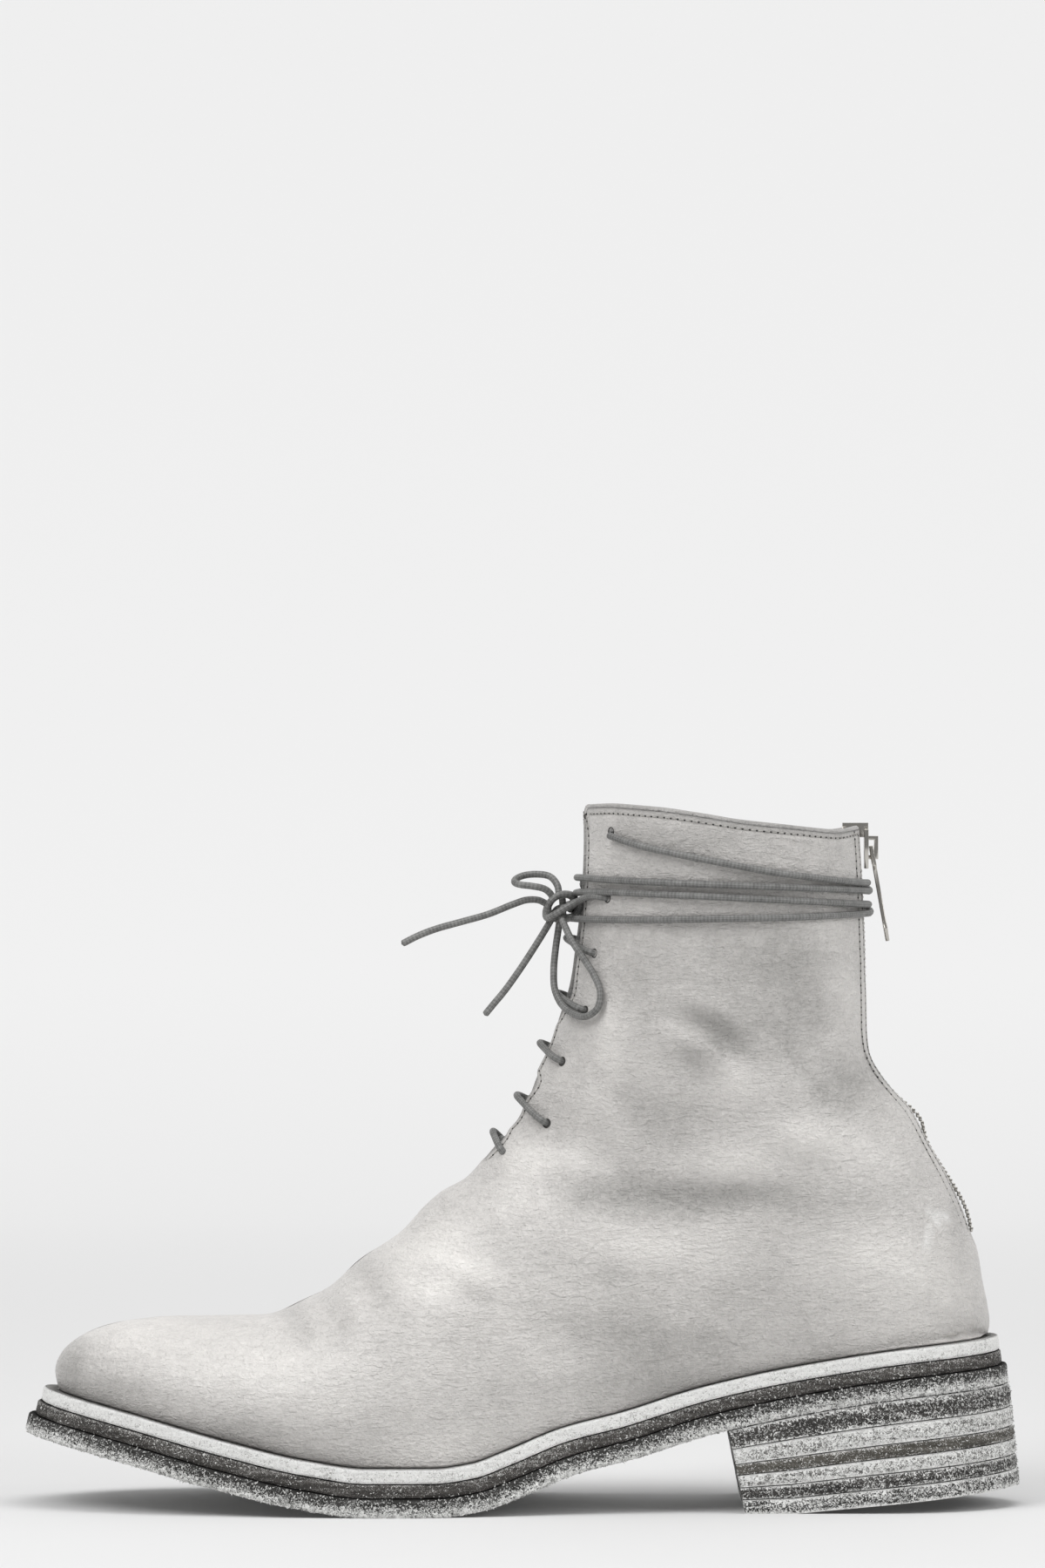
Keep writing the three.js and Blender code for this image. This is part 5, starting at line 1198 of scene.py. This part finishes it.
def on_shaft(turn, height, lift):
    """A place on the wound lace: turn, share of the boot's height, and how far it is lifted off its seat."""
    front = find(0.5, 1.0, lambda middle: skin(middle, turn)[..., 2] < height * BOOT_HEIGHT)
    return under_skin(front, turn, -LACE_LIFT - lift)


NEAR_RUN = (
    (-0.205, 0.9614, 0), (-0.3, 0.9471, 0), (-0.4, 0.9343, 0), (-0.5, 0.9219, 0), (-0.6, 0.9100, 0),
    (-0.7, 0.9019, 0), (-0.8, 0.8962, 0), (-0.9, 0.8929, 0), (1, 0.8919, 0), (0.9, 0.8910, 0),
    (0.75, 0.8895, 0), (0.6, 0.8876, 0), (0.5, 0.8862, 0), (0.4, 0.8843, 0), (0.3, 0.8824, 0),
    (0.2, 0.8805, 0), (0.1, 0.8786, 0), (0, 0.8771, 0), (-0.1, 0.8786, 0), (-0.2, 0.8800, 0),
    (-0.3, 0.8786, 0), (-0.4, 0.8767, 0), (-0.5, 0.8738, 0), (-0.65, 0.8690, 0), (-0.8, 0.8643, 0),
    (-0.9, 0.8619, 0), (1, 0.8610, 0), (0.9, 0.8610, 0), (0.75, 0.8605, 0), (0.6, 0.8600, 0),
    (0.45, 0.8600, 0), (0.33, 0.8595, 0.3), (0.25, 0.8595, 2.2), (0.16, 0.8590, 3), (0.08, 0.8586, 3.4),
)
NEAR_RUN_END = (1.5, 2.9, 0.2)
FAR_RUN = (
    (0.205, 0.9614, 0), (0.3, 0.9471, 0), (0.4, 0.9343, 0), (0.5, 0.9219, 0), (0.6, 0.9100, 0),
    (0.68, 0.9024, 0.6), (0.75, 0.8962, 2.4), (0.82, 0.8900, 2.7), (0.88, 0.8852, 2.5),
    (0.94, 0.8814, 1.4), (1, 0.8800, 0.3), (-0.93, 0.8810, 0), (-0.8, 0.8838, 0), (-0.65, 0.8876, 0),
    (-0.5, 0.8914, 0), (-0.35, 0.8948, 0), (-0.2, 0.8976, 0), (-0.1, 0.8995, 0), (0, 0.8995, 0),
    (0.1, 0.8981, 0), (0.2, 0.8948, 0.2), (0.3, 0.8900, 2.1), (0.4, 0.8843, 2.7), (0.5, 0.8781, 2.2),
    (0.59, 0.8724, 1), (0.66, 0.8681, 1.9), (0.73, 0.8638, 2.6), (0.8, 0.8600, 2.7), (0.87, 0.8557, 2.4),
    (0.94, 0.8514, 1.4), (1, 0.8490, 0.2), (-0.93, 0.8486, 0), (-0.8, 0.8476, 0), (-0.65, 0.8452, 0),
    (-0.5, 0.8438, 0), (-0.35, 0.8414, 0), (-0.2, 0.8405, 0), (-0.1, 0.8400, 0.4), (-0.05, 0.8400, 1.4),
)
FAR_RUN_END = (1.1, -1.9, -3.2)
KNOT_SEAT = (0, 0.8564, 0)
KNOT_AHEAD = 4.4
KNOT_WRAPS = (
    (0.4, 0.6, 4.2), (0.8, -0.3, 1.6), (0.8, -0.5, -0.8), (1.4, 0.8, -3.0), (4.4, 1.8, -2.4),
    (5.0, 0.2, 0.8), (3.2, -1.6, 3.4), (0.2, -2.6, 3.8), (-2.4, -2.8, 2.2),
    (-3.6, -2.2, -0.4), (-2.4, -1.4, -2.9), (0.4, 0.6, -3.8), (3.6, 0.6, -3.0), (6.0, -2.4, -0.2),
    (6.2, -5.6, 2.0), (3.0, -8.2, 0.6), (-1.2, -8.0, -1.8), (-3.8, -4.6, -3.2), (-4.2, -0.6, -1.0),
    (-2.4, 1.6, 2.2), (1.2, 1.8, 4.0), (4.4, -0.6, 3.0), (3.0, -1.6, 0.6), (-0.8, -0.4, -0.6),
    (-2.2, 0.6, -2.4),
)
LOOP_UP = (
    (-0.3, 0.7, 3.3), (-0.8, 2.6, 6.6), (-3, 4.4, 9.2), (-7, 5.6, 9.9), (-11, 5, 9.5), (-13.4, 2.6, 8.4),
    (-13.6, -0.4, 7.4), (-11.8, -2.8, 6.8), (-8.4, -3.7, 6.4), (-4.8, -3, 5.6), (-2.8, -1.9, 4),
    (-2.1, -1, 2.4),
)
LOOP_DOWN = (
    (0, 1, -3.3), (-0.6, -0.2, -7.5), (-1.4, -2, -13), (-1.9, -4.2, -19), (-1.6, -7.4, -24.6),
    (0.4, -11.2, -29), (3.6, -15.2, -31.6), (7.8, -20.8, -32.4), (11.2, -23.4, -29.8),
    (12, -22.8, -25.2), (10.2, -19.8, -20.2), (7.2, -17, -15.4), (4.2, -14.8, -11), (2, -10.6, -6.8),
    (0.6, -7.2, -2.8), (1.3, -3.7, 0.5),
)
END_LEFT = (
    (-3.4, 0.4, 0.6), (-6.4, 0, 2.1), (-10, -1, 2.2), (-13.9, -2.2, 1), (-21.8, -4.6, -2.1),
    (-29.7, -6.6, -4.3), (-37.6, -8.2, -6.5), (-42.8, -9, -8.5), (-47.8, -9.6, -11),
)
END_DOWN = (
    (-2, -0.7, -2.6), (-4.2, -2, -6.4), (-8.2, -4, -12.8), (-12.6, -6, -19.4), (-16.8, -7.8, -25.2),
    (-20, -9.2, -29), (-22.8, -10.4, -32.4),
)

# How a lace passes from one hole to the next, from the outer side and from the inner side: share of the way
# up, turn as a share of the hole's, depth. It leaves a hole, passes over the facing's edge into the throat
# and goes on under the other facing.
OUTER_STRAND = (
    (0.00, 1.00, 4.0), (0.00, 1.00, 1.0), (0.02, 0.94, -1.1), (0.09, 0.70, -1.6), (0.17, 0.42, -2.0),
    (0.23, 0.14, -2.7), (0.25, -0.08, -2.6), (0.24, -0.26, -0.6), (0.21, -0.38, 2.2), (0.26, -0.58, 3.7),
    (0.80, -0.92, 3.6),
)
INNER_STRAND = (
    (0.00, 1.00, 4.0), (0.00, 1.00, 1.0), (0.02, 0.94, -1.1), (0.08, 0.75, -1.4), (0.15, 0.52, -1.3),
    (0.22, 0.32, -0.2), (0.30, 0.14, 1.9), (0.42, -0.15, 3.5), (0.62, -0.55, 3.6), (0.82, -0.92, 3.6),
)

def knot_place(place_from_knot):
    middle = on_shaft(*KNOT_SEAT) + [-KNOT_AHEAD, 0, 0]
    return middle + np.array(place_from_knot, float)


def lace_piece(name, points, material, nodes):
    tube, faces, uv, path, length = lace_tube(points)
    piece = add_mesh(name, [(tube, faces)], material, uv=uv)
    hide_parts(*nodes)
    return piece, path, length


def make_free_lace(name, node, points, material):
    piece, path, length = lace_piece(name, points, material, [node])
    return piece


def strand_points(first_side):
    """The lace from the lowest hole to the highest, over one facing and under the other each time."""
    holes = [(at, float(turn_for(at, back))) for at, back in EYELETS]
    points, side = [], first_side
    for row, ((at, turn), (next_at, next_turn)) in enumerate(zip(holes, holes[1:])):
        for up, across, depth in (OUTER_STRAND if side < 0 else INNER_STRAND):
            reach = turn if across > 0 else next_turn
            # The last strand dips towards the knot before it climbs to its hole
            dip = 0.9 * math.sin(math.pi * up) ** 2 if row == len(holes) - 2 and side < 0 and up < 0.5 else 0
            points.append(under_skin(mix(at, next_at, up - dip), side * across * reach, depth))
        side = -side
    at, turn = holes[-1]
    points.append(under_skin(at, side * turn, 3.6))
    points.append(under_skin(at, side * turn, 1.0))
    points.append(under_skin(at, side * turn * 1.02, -0.6))
    return np.array(points)


def make_holes(edge_dye_and_hole_shade):
    """The punched lace holes: raw leather with painted shade of the hole, that shows as a dark rim round the
    lace.
    """
    angles = np.linspace(0, 2 * math.pi, 25)
    parts = []
    for at, back in EYELETS:
        for side in (-1, 1):
            turn = side * float(turn_for(at, back))
            centre = under_skin(at, turn, -0.35)
            out = unit(centre - under_skin(at, turn, 1.0))
            up = unit(np.cross(out, [0.0, 1.0, 0.0]))
            across = np.cross(out, up)
            rings = []
            for radius, depth in ((EYELET_RADIUS - 0.1, 0.5), (EYELET_RADIUS - 0.2, 0.1),
                                  (EYELET_RADIUS - 0.4, 0.2), (0.2, 0.6)):
                rings.append(centre - out * depth + radius * (
                    np.cos(angles)[:, None] * up + np.sin(angles)[:, None] * across))
            parts.append((np.array(rings), quads(4, 25)))
    holes = add_mesh("punched_holes", parts, edge_dye_and_hole_shade)
    return holes


# The zip

ZIP_BULGE = 1.7
TAPE_WIDTH = 24.0
TAPE_DEPTH = LEATHER_WALL + 0.9


def buckle(up):
    """How far the wavy zip stands out behind the slit, in mm, at a share of the back line."""
    return ZIP_BULGE * (np.exp(-(((up - 0.25) / 0.06) ** 2)) + np.exp(-(((up - 0.42) / 0.03) ** 2)))


def on_back(up, y, depth):
    """A place on the back of the boot: up is a share of the back line, y is to the side."""
    up, y = np.broadcast_arrays(np.asarray(up, float), np.asarray(y, float))
    front = find(0.6 + 0 * up, 1 + 0 * up, lambda middle: read(SECTIONS, "end", middle) < 1 + up)
    turn = find(BELLY_TURN + 0 * up, 1 + 0 * up, lambda middle: skin(front, middle)[..., 1] > np.abs(y))
    return under_skin(front, np.where(y < 0, -turn, turn), depth)


def make_tape(cloth):
    """The zip's woven tape behind the slit."""
    up = np.linspace(ZIP_START, 0.985, 120)
    side = np.linspace(-TAPE_WIDTH / 2, TAPE_WIDTH / 2, 25)
    rows, across = np.meshgrid(up, side, indexing="ij")
    lean = buckle(rows) * np.exp(-((across / 4.5) ** 2))
    outer = on_back(rows, across, TAPE_DEPTH - lean)
    inner = on_back(rows, across, TAPE_DEPTH + 0.6 - lean)
    parts = [(outer, quads(120, 25, turned=True)), (inner, quads(120, 25)),
             (np.stack([outer[:, 0], inner[:, 0]], axis=1), quads(120, 2)),
             (np.stack([outer[:, -1], inner[:, -1]], axis=1), quads(120, 2, turned=True)),
             (np.stack([outer[-1], inner[-1]], axis=1), quads(25, 2)),
             (np.stack([outer[0], inner[0]], axis=1), quads(25, 2, turned=True))]
    tape = add_mesh("zip_woven_tape", parts, cloth, merge=0.01)
    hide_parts("zip_tape")
    return tape


def block(size, ease):
    """A block with softened edges about the origin, and its faces."""
    work = bmesh.new()
    bmesh.ops.create_cube(work, size=1.0)
    bmesh.ops.scale(work, vec=size, verts=work.verts)
    bmesh.ops.bevel(work, geom=work.edges, offset=ease, segments=2, affect="EDGES", profile=0.5)
    work.verts.ensure_lookup_table()
    points = np.array([v.co[:] for v in work.verts])
    faces = [[v.index for v in f.verts] for f in work.faces]
    work.free()
    return points, faces


def make_teeth(metal, pitch=2.6):
    """The zip's metal teeth, one after another from the two sides."""
    start = ZIP_START + ZIP_SLIT / 2 / (BACK_TOP - HEEL_FEATHER[1])
    stop = (191.0 - HEEL_FEATHER[1]) / (BACK_TOP - HEEL_FEATHER[1])
    count = int((stop - start) * (BACK_TOP - HEEL_FEATHER[1]) / pitch * 2)
    shape, faces = block((1.5, 3.9, 0.92), 0.22)
    parts = []
    for k, up in enumerate(np.linspace(start, stop, count)):
        centre = on_back(up, 0.001, 0.9 - buckle(up))
        ahead = unit(on_back(up + 0.004, 0.001, 0.9) - centre)
        out = unit(np.array([ahead[2], 0.0, -ahead[0]]))
        side = np.cross(ahead, out)
        shift = side * (0.95 if k % 2 else -0.95)
        parts.append((centre + shift + shape @ np.stack([out, side, ahead]), faces))
    teeth = add_mesh("zip_metal_teeth", parts, metal)
    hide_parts("zip_teeth")
    return teeth


def softened(name, node, metal, ease, body):
    """A cast piece with the CAD node's shape and rounded edges."""
    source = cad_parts[node]
    work = bmesh.new()
    work.from_mesh(source.data)
    bmesh.ops.transform(work, matrix=source.matrix_world, verts=work.verts)
    bmesh.ops.remove_doubles(work, verts=work.verts, dist=0.01 * MM)
    bmesh.ops.dissolve_limit(work, angle_limit=math.radians(2), verts=work.verts, edges=work.edges)
    sharp = [edge for edge in work.edges if edge.is_manifold and edge.calc_face_angle() > math.radians(35)]
    bmesh.ops.bevel(work, geom=sharp, offset=ease * MM, segments=3, affect="EDGES", profile=0.5,
                    clamp_overlap=True)
    work.verts.index_update()
    points = np.array([v.co[:] for v in work.verts]) / MM
    faces = [[v.index for v in f.verts] for f in work.faces]
    work.free()
    piece = add_mesh(name, [(points, faces)], metal, body=body)
    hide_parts(node)
    return piece


def edge_places(dice, count, name, low, high):
    """Random places on the edge of a sole layer, with the way out from each."""
    u = dice.uniform(0.002, 0.998, count)
    side = np.where(dice.random(count) < 0.5, -1.0, 1.0)
    height = mix(low, high, dice.random(count))

    def edge(at):
        share, _, outer, inner, swing = footprint(at, name)
        x, z = sole_point(share, height)
        return np.stack([x + CENTRING, swing + np.where(side < 0, -outer, inner), z], axis=1)

    points = edge(u)
    run = unit(edge(np.minimum(u + 0.002, 1)) - points)
    out = unit(np.stack([run[:, 1], -run[:, 0], 0 * u], axis=1))
    return points, out * np.where(side < 0, 1.0, -1.0)[:, None]


def heel_places(dice, count):
    """Random places on the stack of heel lifts, with the way out from each."""
    depth = dice.random(count)
    side = dice.random(count) < 0.5
    pick = dice.integers(0, 158, count)
    points, out = np.zeros((count, 3)), np.zeros((count, 3))
    for k in range(count):
        left, right = heel_level(depth[k], 0.35)
        line = left if side[k] else right
        here, run = line[pick[k]], unit(line[pick[k] + 1] - line[pick[k]])
        points[k] = mix(here, line[pick[k] + 1], dice.random())
        out[k] = np.array([run[1], -run[0], 0.0]) * (1 if side[k] else -1)
    return points, unit(out)


def make_crumbs(chalk):
    """Crumbs of dust and short fibres that cling to the sanded edges of the sole and the heel."""
    dice = np.random.default_rng(7)
    places = [edge_places(dice, 5200, "outsole", 0.0, OUTSOLE_THICKNESS),
              edge_places(dice, 2200, "outsole", 0.0, 0.5),
              edge_places(dice, 700, "midsole", MIDSOLE_SEAT, MIDSOLE_SEAT + MIDSOLE_THICKNESS),
              heel_places(dice, 1900)]
    points = np.concatenate([place[0] for place in places])
    out = np.concatenate([place[1] for place in places])
    count = len(points)
    corners = np.array([(1, 0, 0), (-1, 0, 0), (0, 1, 0), (0, -1, 0), (0, 0, 1), (0, 0, -1)], float)
    faces = np.array([(0, 2, 4), (2, 1, 4), (1, 3, 4), (3, 0, 4), (2, 0, 5), (1, 2, 5), (3, 1, 5), (0, 3, 5)])
    long = unit(dice.normal(size=(count, 3)))
    wide = unit(np.cross(long, dice.normal(size=(count, 3))))
    deep = np.cross(long, wide)
    size = dice.uniform(0.10, 0.26, count)[:, None, None]
    stretch = dice.uniform(1.0, 3.4, count)[:, None, None]
    shape = size * (corners[None, :, :1] * long[:, None] * stretch + corners[None, :, 1:2] * wide[:, None]
                    + corners[None, :, 2:] * deep[:, None])
    shape = shape + (points + out * 0.12)[:, None]
    shape[..., 2] = np.maximum(shape[..., 2], 0.02)
    grid = (np.arange(count)[:, None, None] * 6 + faces[None]).reshape(-1, 3)
    crumbs = add_mesh("edge_crumbs", [(shape.reshape(-1, 3), grid)], chalk)
    return crumbs


# What a user would change


def tint(name, description, code):
    """A colour that a user can change, from an sRGB hex value."""
    return FloatVectorProperty(
        name=name, description=description, subtype="COLOR", min=0, max=1, default=linear(code)[:3])


class BootColours(bpy.types.PropertyGroup):
    leather: tint("Leather", "Middle tone of the washed calf", "#D0CDCA")
    # The dark and light ends of the leather's ramp also carry its painted shade in crease troughs and its
    # painted highlights
    leather_dark: tint("Leather hollows", "Where dye gathers in the leather", "#9C9A97")
    leather_light: tint("Leather highs", "Where wax is rubbed off the leather", "#F0EDE9")
    edge: tint("Painted edge", "Edge paint along the leather's edges", "#5A5A59")
    scuff: tint("Scuff", "Rubbed mark on the counter", "#F4F3F1")
    # The lace's dark colour also gives the painted shade between the strands of its plait
    lace: tint("Lace", "Waxed cotton where it is rubbed", "#8F8F8D")
    lace_dark: tint("Lace between strands", "Waxed cotton between its strands", "#575756")


class BootSizes(bpy.types.PropertyGroup):
    stitch_pitch: FloatProperty(
        name="Stitch pitch", description="From one stitch to the next", unit="LENGTH", default=2.2 * MM,
        min=1.2 * MM, max=5.0 * MM)
    braid_turns: FloatProperty(
        name="Plait turns", description="Turns of the lace's plait in each millimetre", default=0.45, min=0.1,
        max=2.0)


# The camera looks straight along +Y at the outer side, from just over the collar's height, in metres
CAMERA_PLACE = (0.00011, -2.5, 0.2172)
CAMERA_LENS = 190.0

UPPER_ROWS = 380
SEAM_ROWS = 250
UPPER_COLUMNS = 96


class BOOT_OT_stage(bpy.types.Operator):
    """Make the camera, the pale floor and the soft studio lights"""

    bl_idname = "boot.stage"
    bl_label = "Stage"

    def execute(self, context):
        camera = bpy.data.objects.new("camera", bpy.data.cameras.new("camera"))
        camera.data.lens = CAMERA_LENS
        camera.data.clip_end = 20.0
        camera.location = CAMERA_PLACE
        camera.rotation_euler = (math.radians(90), 0, 0)
        context.scene.collection.objects.link(camera)
        context.scene.camera = camera
        profile = [(-3.0, 0.0), (1.6, 0.0)]
        profile += [(1.6 + 1.2 * math.sin(a), 1.2 - 1.2 * math.cos(a)) for a in np.linspace(0.05, 1.57, 24)]
        profile += [(2.8, 4.0)]
        points = [(x, y, z) for y, z in profile for x in (-4.0, 4.0)]
        mesh = bpy.data.meshes.new("paper_floor")
        mesh.from_pydata(points, [], quads(len(profile), 2, turned=True).tolist())
        mesh.polygons.foreach_set("use_smooth", np.ones(len(mesh.polygons), bool))
        mesh.materials.append(matt_paper())
        floor = bpy.data.objects.new("paper_floor", mesh)
        context.scene.collection.objects.link(floor)
        context.scene.view_settings.view_transform = "Standard"
        world = bpy.data.worlds.new("studio")
        world.use_nodes = True
        world.node_tree.nodes["Background"].inputs["Color"].default_value = (1, 1, 1, 1)
        world.node_tree.nodes["Background"].inputs["Strength"].default_value = 0.30
        context.scene.world = world
        for name, place_at, aim, size, power in (
                ("key", (-1.1, -1.2, 1.9), (0, 0, 0.1), 1.4, 27.0),
                ("top", (0.2, -0.3, 2.2), (0, 0, 0.1), 1.6, 21.0),
                ("side", (1.9, -0.9, 1.3), (0, 0, 0.1), 1.2, 15.0)):
            data = bpy.data.lights.new(name, "AREA")
            data.size = size
            data.energy = power
            light = bpy.data.objects.new(name, data)
            light.location = place_at
            direction = Vector(aim) - Vector(place_at)
            light.rotation_euler = direction.to_track_quat("-Z", "Y").to_euler()
            context.scene.collection.objects.link(light)
        return {"FINISHED"}


class BOOT_OT_laces(bpy.types.Operator):
    """Thread the lace through the holes, wind it round the shaft and tie its bow"""

    bl_idname = "boot.laces"
    bl_label = "Laces"

    def execute(self, context):
        braid = waxed_cotton_braid(context.scene.boot_colours, context.scene.boot_sizes.braid_turns)
        near = [on_shaft(*row) for row in NEAR_RUN] + [knot_place(NEAR_RUN_END)]
        far = [on_shaft(*row) for row in FAR_RUN] + [knot_place(FAR_RUN_END)]
        knot, _, _ = lace_piece("lace_knot_wraps", [knot_place(p) for p in KNOT_WRAPS], braid, ["lace_knot"])
        make_free_lace("lace_near_run", "lace_run_near", near, braid)
        make_free_lace("lace_far_run", "lace_run_far", far, braid)
        for name, node, places, far_end, lay in (
                ("bow_loop_up", "lace_loop_up", LOOP_UP, "object", "loose"),
                ("bow_loop_down", "lace_loop_down", LOOP_DOWN, "object", "loose"),
                ("bow_end_left", "lace_end_left", END_LEFT, "bare", "hanging"),
                ("bow_end_down", "lace_end_down", END_DOWN, "bare", "hanging")):
            make_free_lace(name, node, [knot_place(place) for place in places], braid)
        for name, side, nodes in (("lace_strand_a", -1, (1, 3, 5)), ("lace_strand_b", 1, (2, 4, 6))):
            lace_piece(name, strand_points(side), braid, [f"lace_crossing_{k}" for k in nodes])
        return {"FINISHED"}


class BOOT_OT_upper(bpy.types.Operator):
    """Make the upper's leather shell, its lining and its tongue"""

    bl_idname = "boot.upper"
    bl_label = "Upper"

    def execute(self, context):
        make_upper(washed_calf_leather(context.scene.boot_colours), UPPER_ROWS, UPPER_COLUMNS)
        make_lining(brushed_fleece_lining())
        make_tongue(suede_tongue_leather())
        edge_dye_and_hole_shade = cut_edge_and_hole_shade()
        make_seams(waxed_linen_thread(), edge_dye_and_hole_shade, SEAM_ROWS, UPPER_COLUMNS,
                   context.scene.boot_sizes.stitch_pitch / MM)
        make_holes(edge_dye_and_hole_shade)
        return {"FINISHED"}


class BOOT_OT_zip(bpy.types.Operator):
    """Make the back zip's tape, teeth, slider and pull tab"""

    bl_idname = "boot.zip"
    bl_label = "Back zip"

    def execute(self, context):
        make_tape(woven_zip_tape())
        metal = polished_nickel_plate()
        make_teeth(metal)
        softened("zip_slider_casting", "zip_slider", metal, 0.3, "boot")
        softened("zip_pull_casting", "zip_pull", metal, 0.3, "zip_pull")
        return {"FINISHED"}


class BOOT_OT_sole(bpy.types.Operator):
    """Stack the welt, midsole, outsole, heel lifts and insole"""

    bl_idname = "boot.sole"
    bl_label = "Sole"

    def execute(self, context):
        welt_edge = dusted_edge("chalked_welt_leather", ("#A3A29F", "#C4C3C0"), ("#DCDCDA", "#F6F6F4"), 0.85,
                                0.7, 0.15)
        mid_edge = dusted_edge("dyed_sole_leather", ("#3A3836", "#585552"), ("#A09E9B", "#DAD9D6"), 0.16, 0.5,
                               0.12)
        rubber = dusted_edge("ground_rubber", ("#31312F", "#4C4B4A"), ("#CDCDCB", "#F6F6F4"), 0.46, 0.8, 0.3)
        dark = dusted_edge("dyed_heel_leather", ("#31302F", "#4C4A48"), ("#C2C2C0", "#F2F2F0"), 0.26, 0.9,
                           0.22)
        olive = dusted_edge("stained_heel_leather", ("#474540", "#64615B"), ("#BCBBB8", "#E8E7E4"), 0.12, 0.7,
                            0.15)
        white = dusted_edge("chalked_heel_leather", ("#5E5D5B", "#858481"), ("#CACAC8", "#F6F6F4"), 0.66, 0.8,
                            0.2)
        make_sole_edge("outsole_rubber", "outsole", "outsole", 0.0, OUTSOLE_THICKNESS, 0.3, (0.25, 0.18),
                       rubber, 1.0, lambda up: 0.24 * (0.5 - up))
        make_sole_edge("midsole_leather", "midsole", "midsole", MIDSOLE_SEAT, MIDSOLE_SEAT + MIDSOLE_THICKNESS,
                       0.35, (0.15, 0.12), mid_edge, 2.0, lambda up: 0.06 * up**4)
        make_sole_edge("welt_leather", "welt", "welt", WELT_SEAT, WELT_TOP, 0.4, (0.2, 0.12), welt_edge,
                       3.0, lambda up: 0.04 * up)
        edges = (dark, white, olive, white, dark, rubber)
        for k, ((name, start, stop), edge) in enumerate(zip(HEEL_LIFTS, edges)):
            make_lift(name, start, stop, edge, 10.0 + k, lambda up: 0.18 * np.abs(2 * up - 1) ** 4)
        make_crumbs(chalk_crumbs())
        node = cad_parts["insole"]
        node.data.materials.clear()
        node.data.materials.append(brushed_insole_leather())
        return {"FINISHED"}


class BOOT_PT_pieces(bpy.types.Panel):
    """The boot's pieces and what may be changed on them"""

    bl_idname = "BOOT_PT_pieces"
    bl_label = "Lace-up boot"
    bl_space_type = "VIEW_3D"
    bl_region_type = "UI"
    bl_category = "Boot"

    def draw(self, context):
        for made in PIECES:
            self.layout.operator(made.bl_idname)


PIECES = (BOOT_OT_stage, BOOT_OT_laces, BOOT_OT_upper, BOOT_OT_zip, BOOT_OT_sole)
CLASSES = (BootColours, BootSizes, *PIECES, BOOT_PT_pieces)


def register():
    for made in CLASSES:
        bpy.utils.register_class(made)
    bpy.types.Scene.boot_colours = PointerProperty(type=BootColours)
    bpy.types.Scene.boot_sizes = PointerProperty(type=BootSizes)


def unregister():
    del bpy.types.Scene.boot_sizes
    del bpy.types.Scene.boot_colours
    for made in reversed(CLASSES):
        bpy.utils.unregister_class(made)


def main():
    register()
    bpy.ops.boot.stage()
    bpy.ops.boot.laces()
    bpy.ops.boot.upper()
    bpy.ops.boot.zip()
    bpy.ops.boot.sole()


if __name__ == "__main__":
    main()
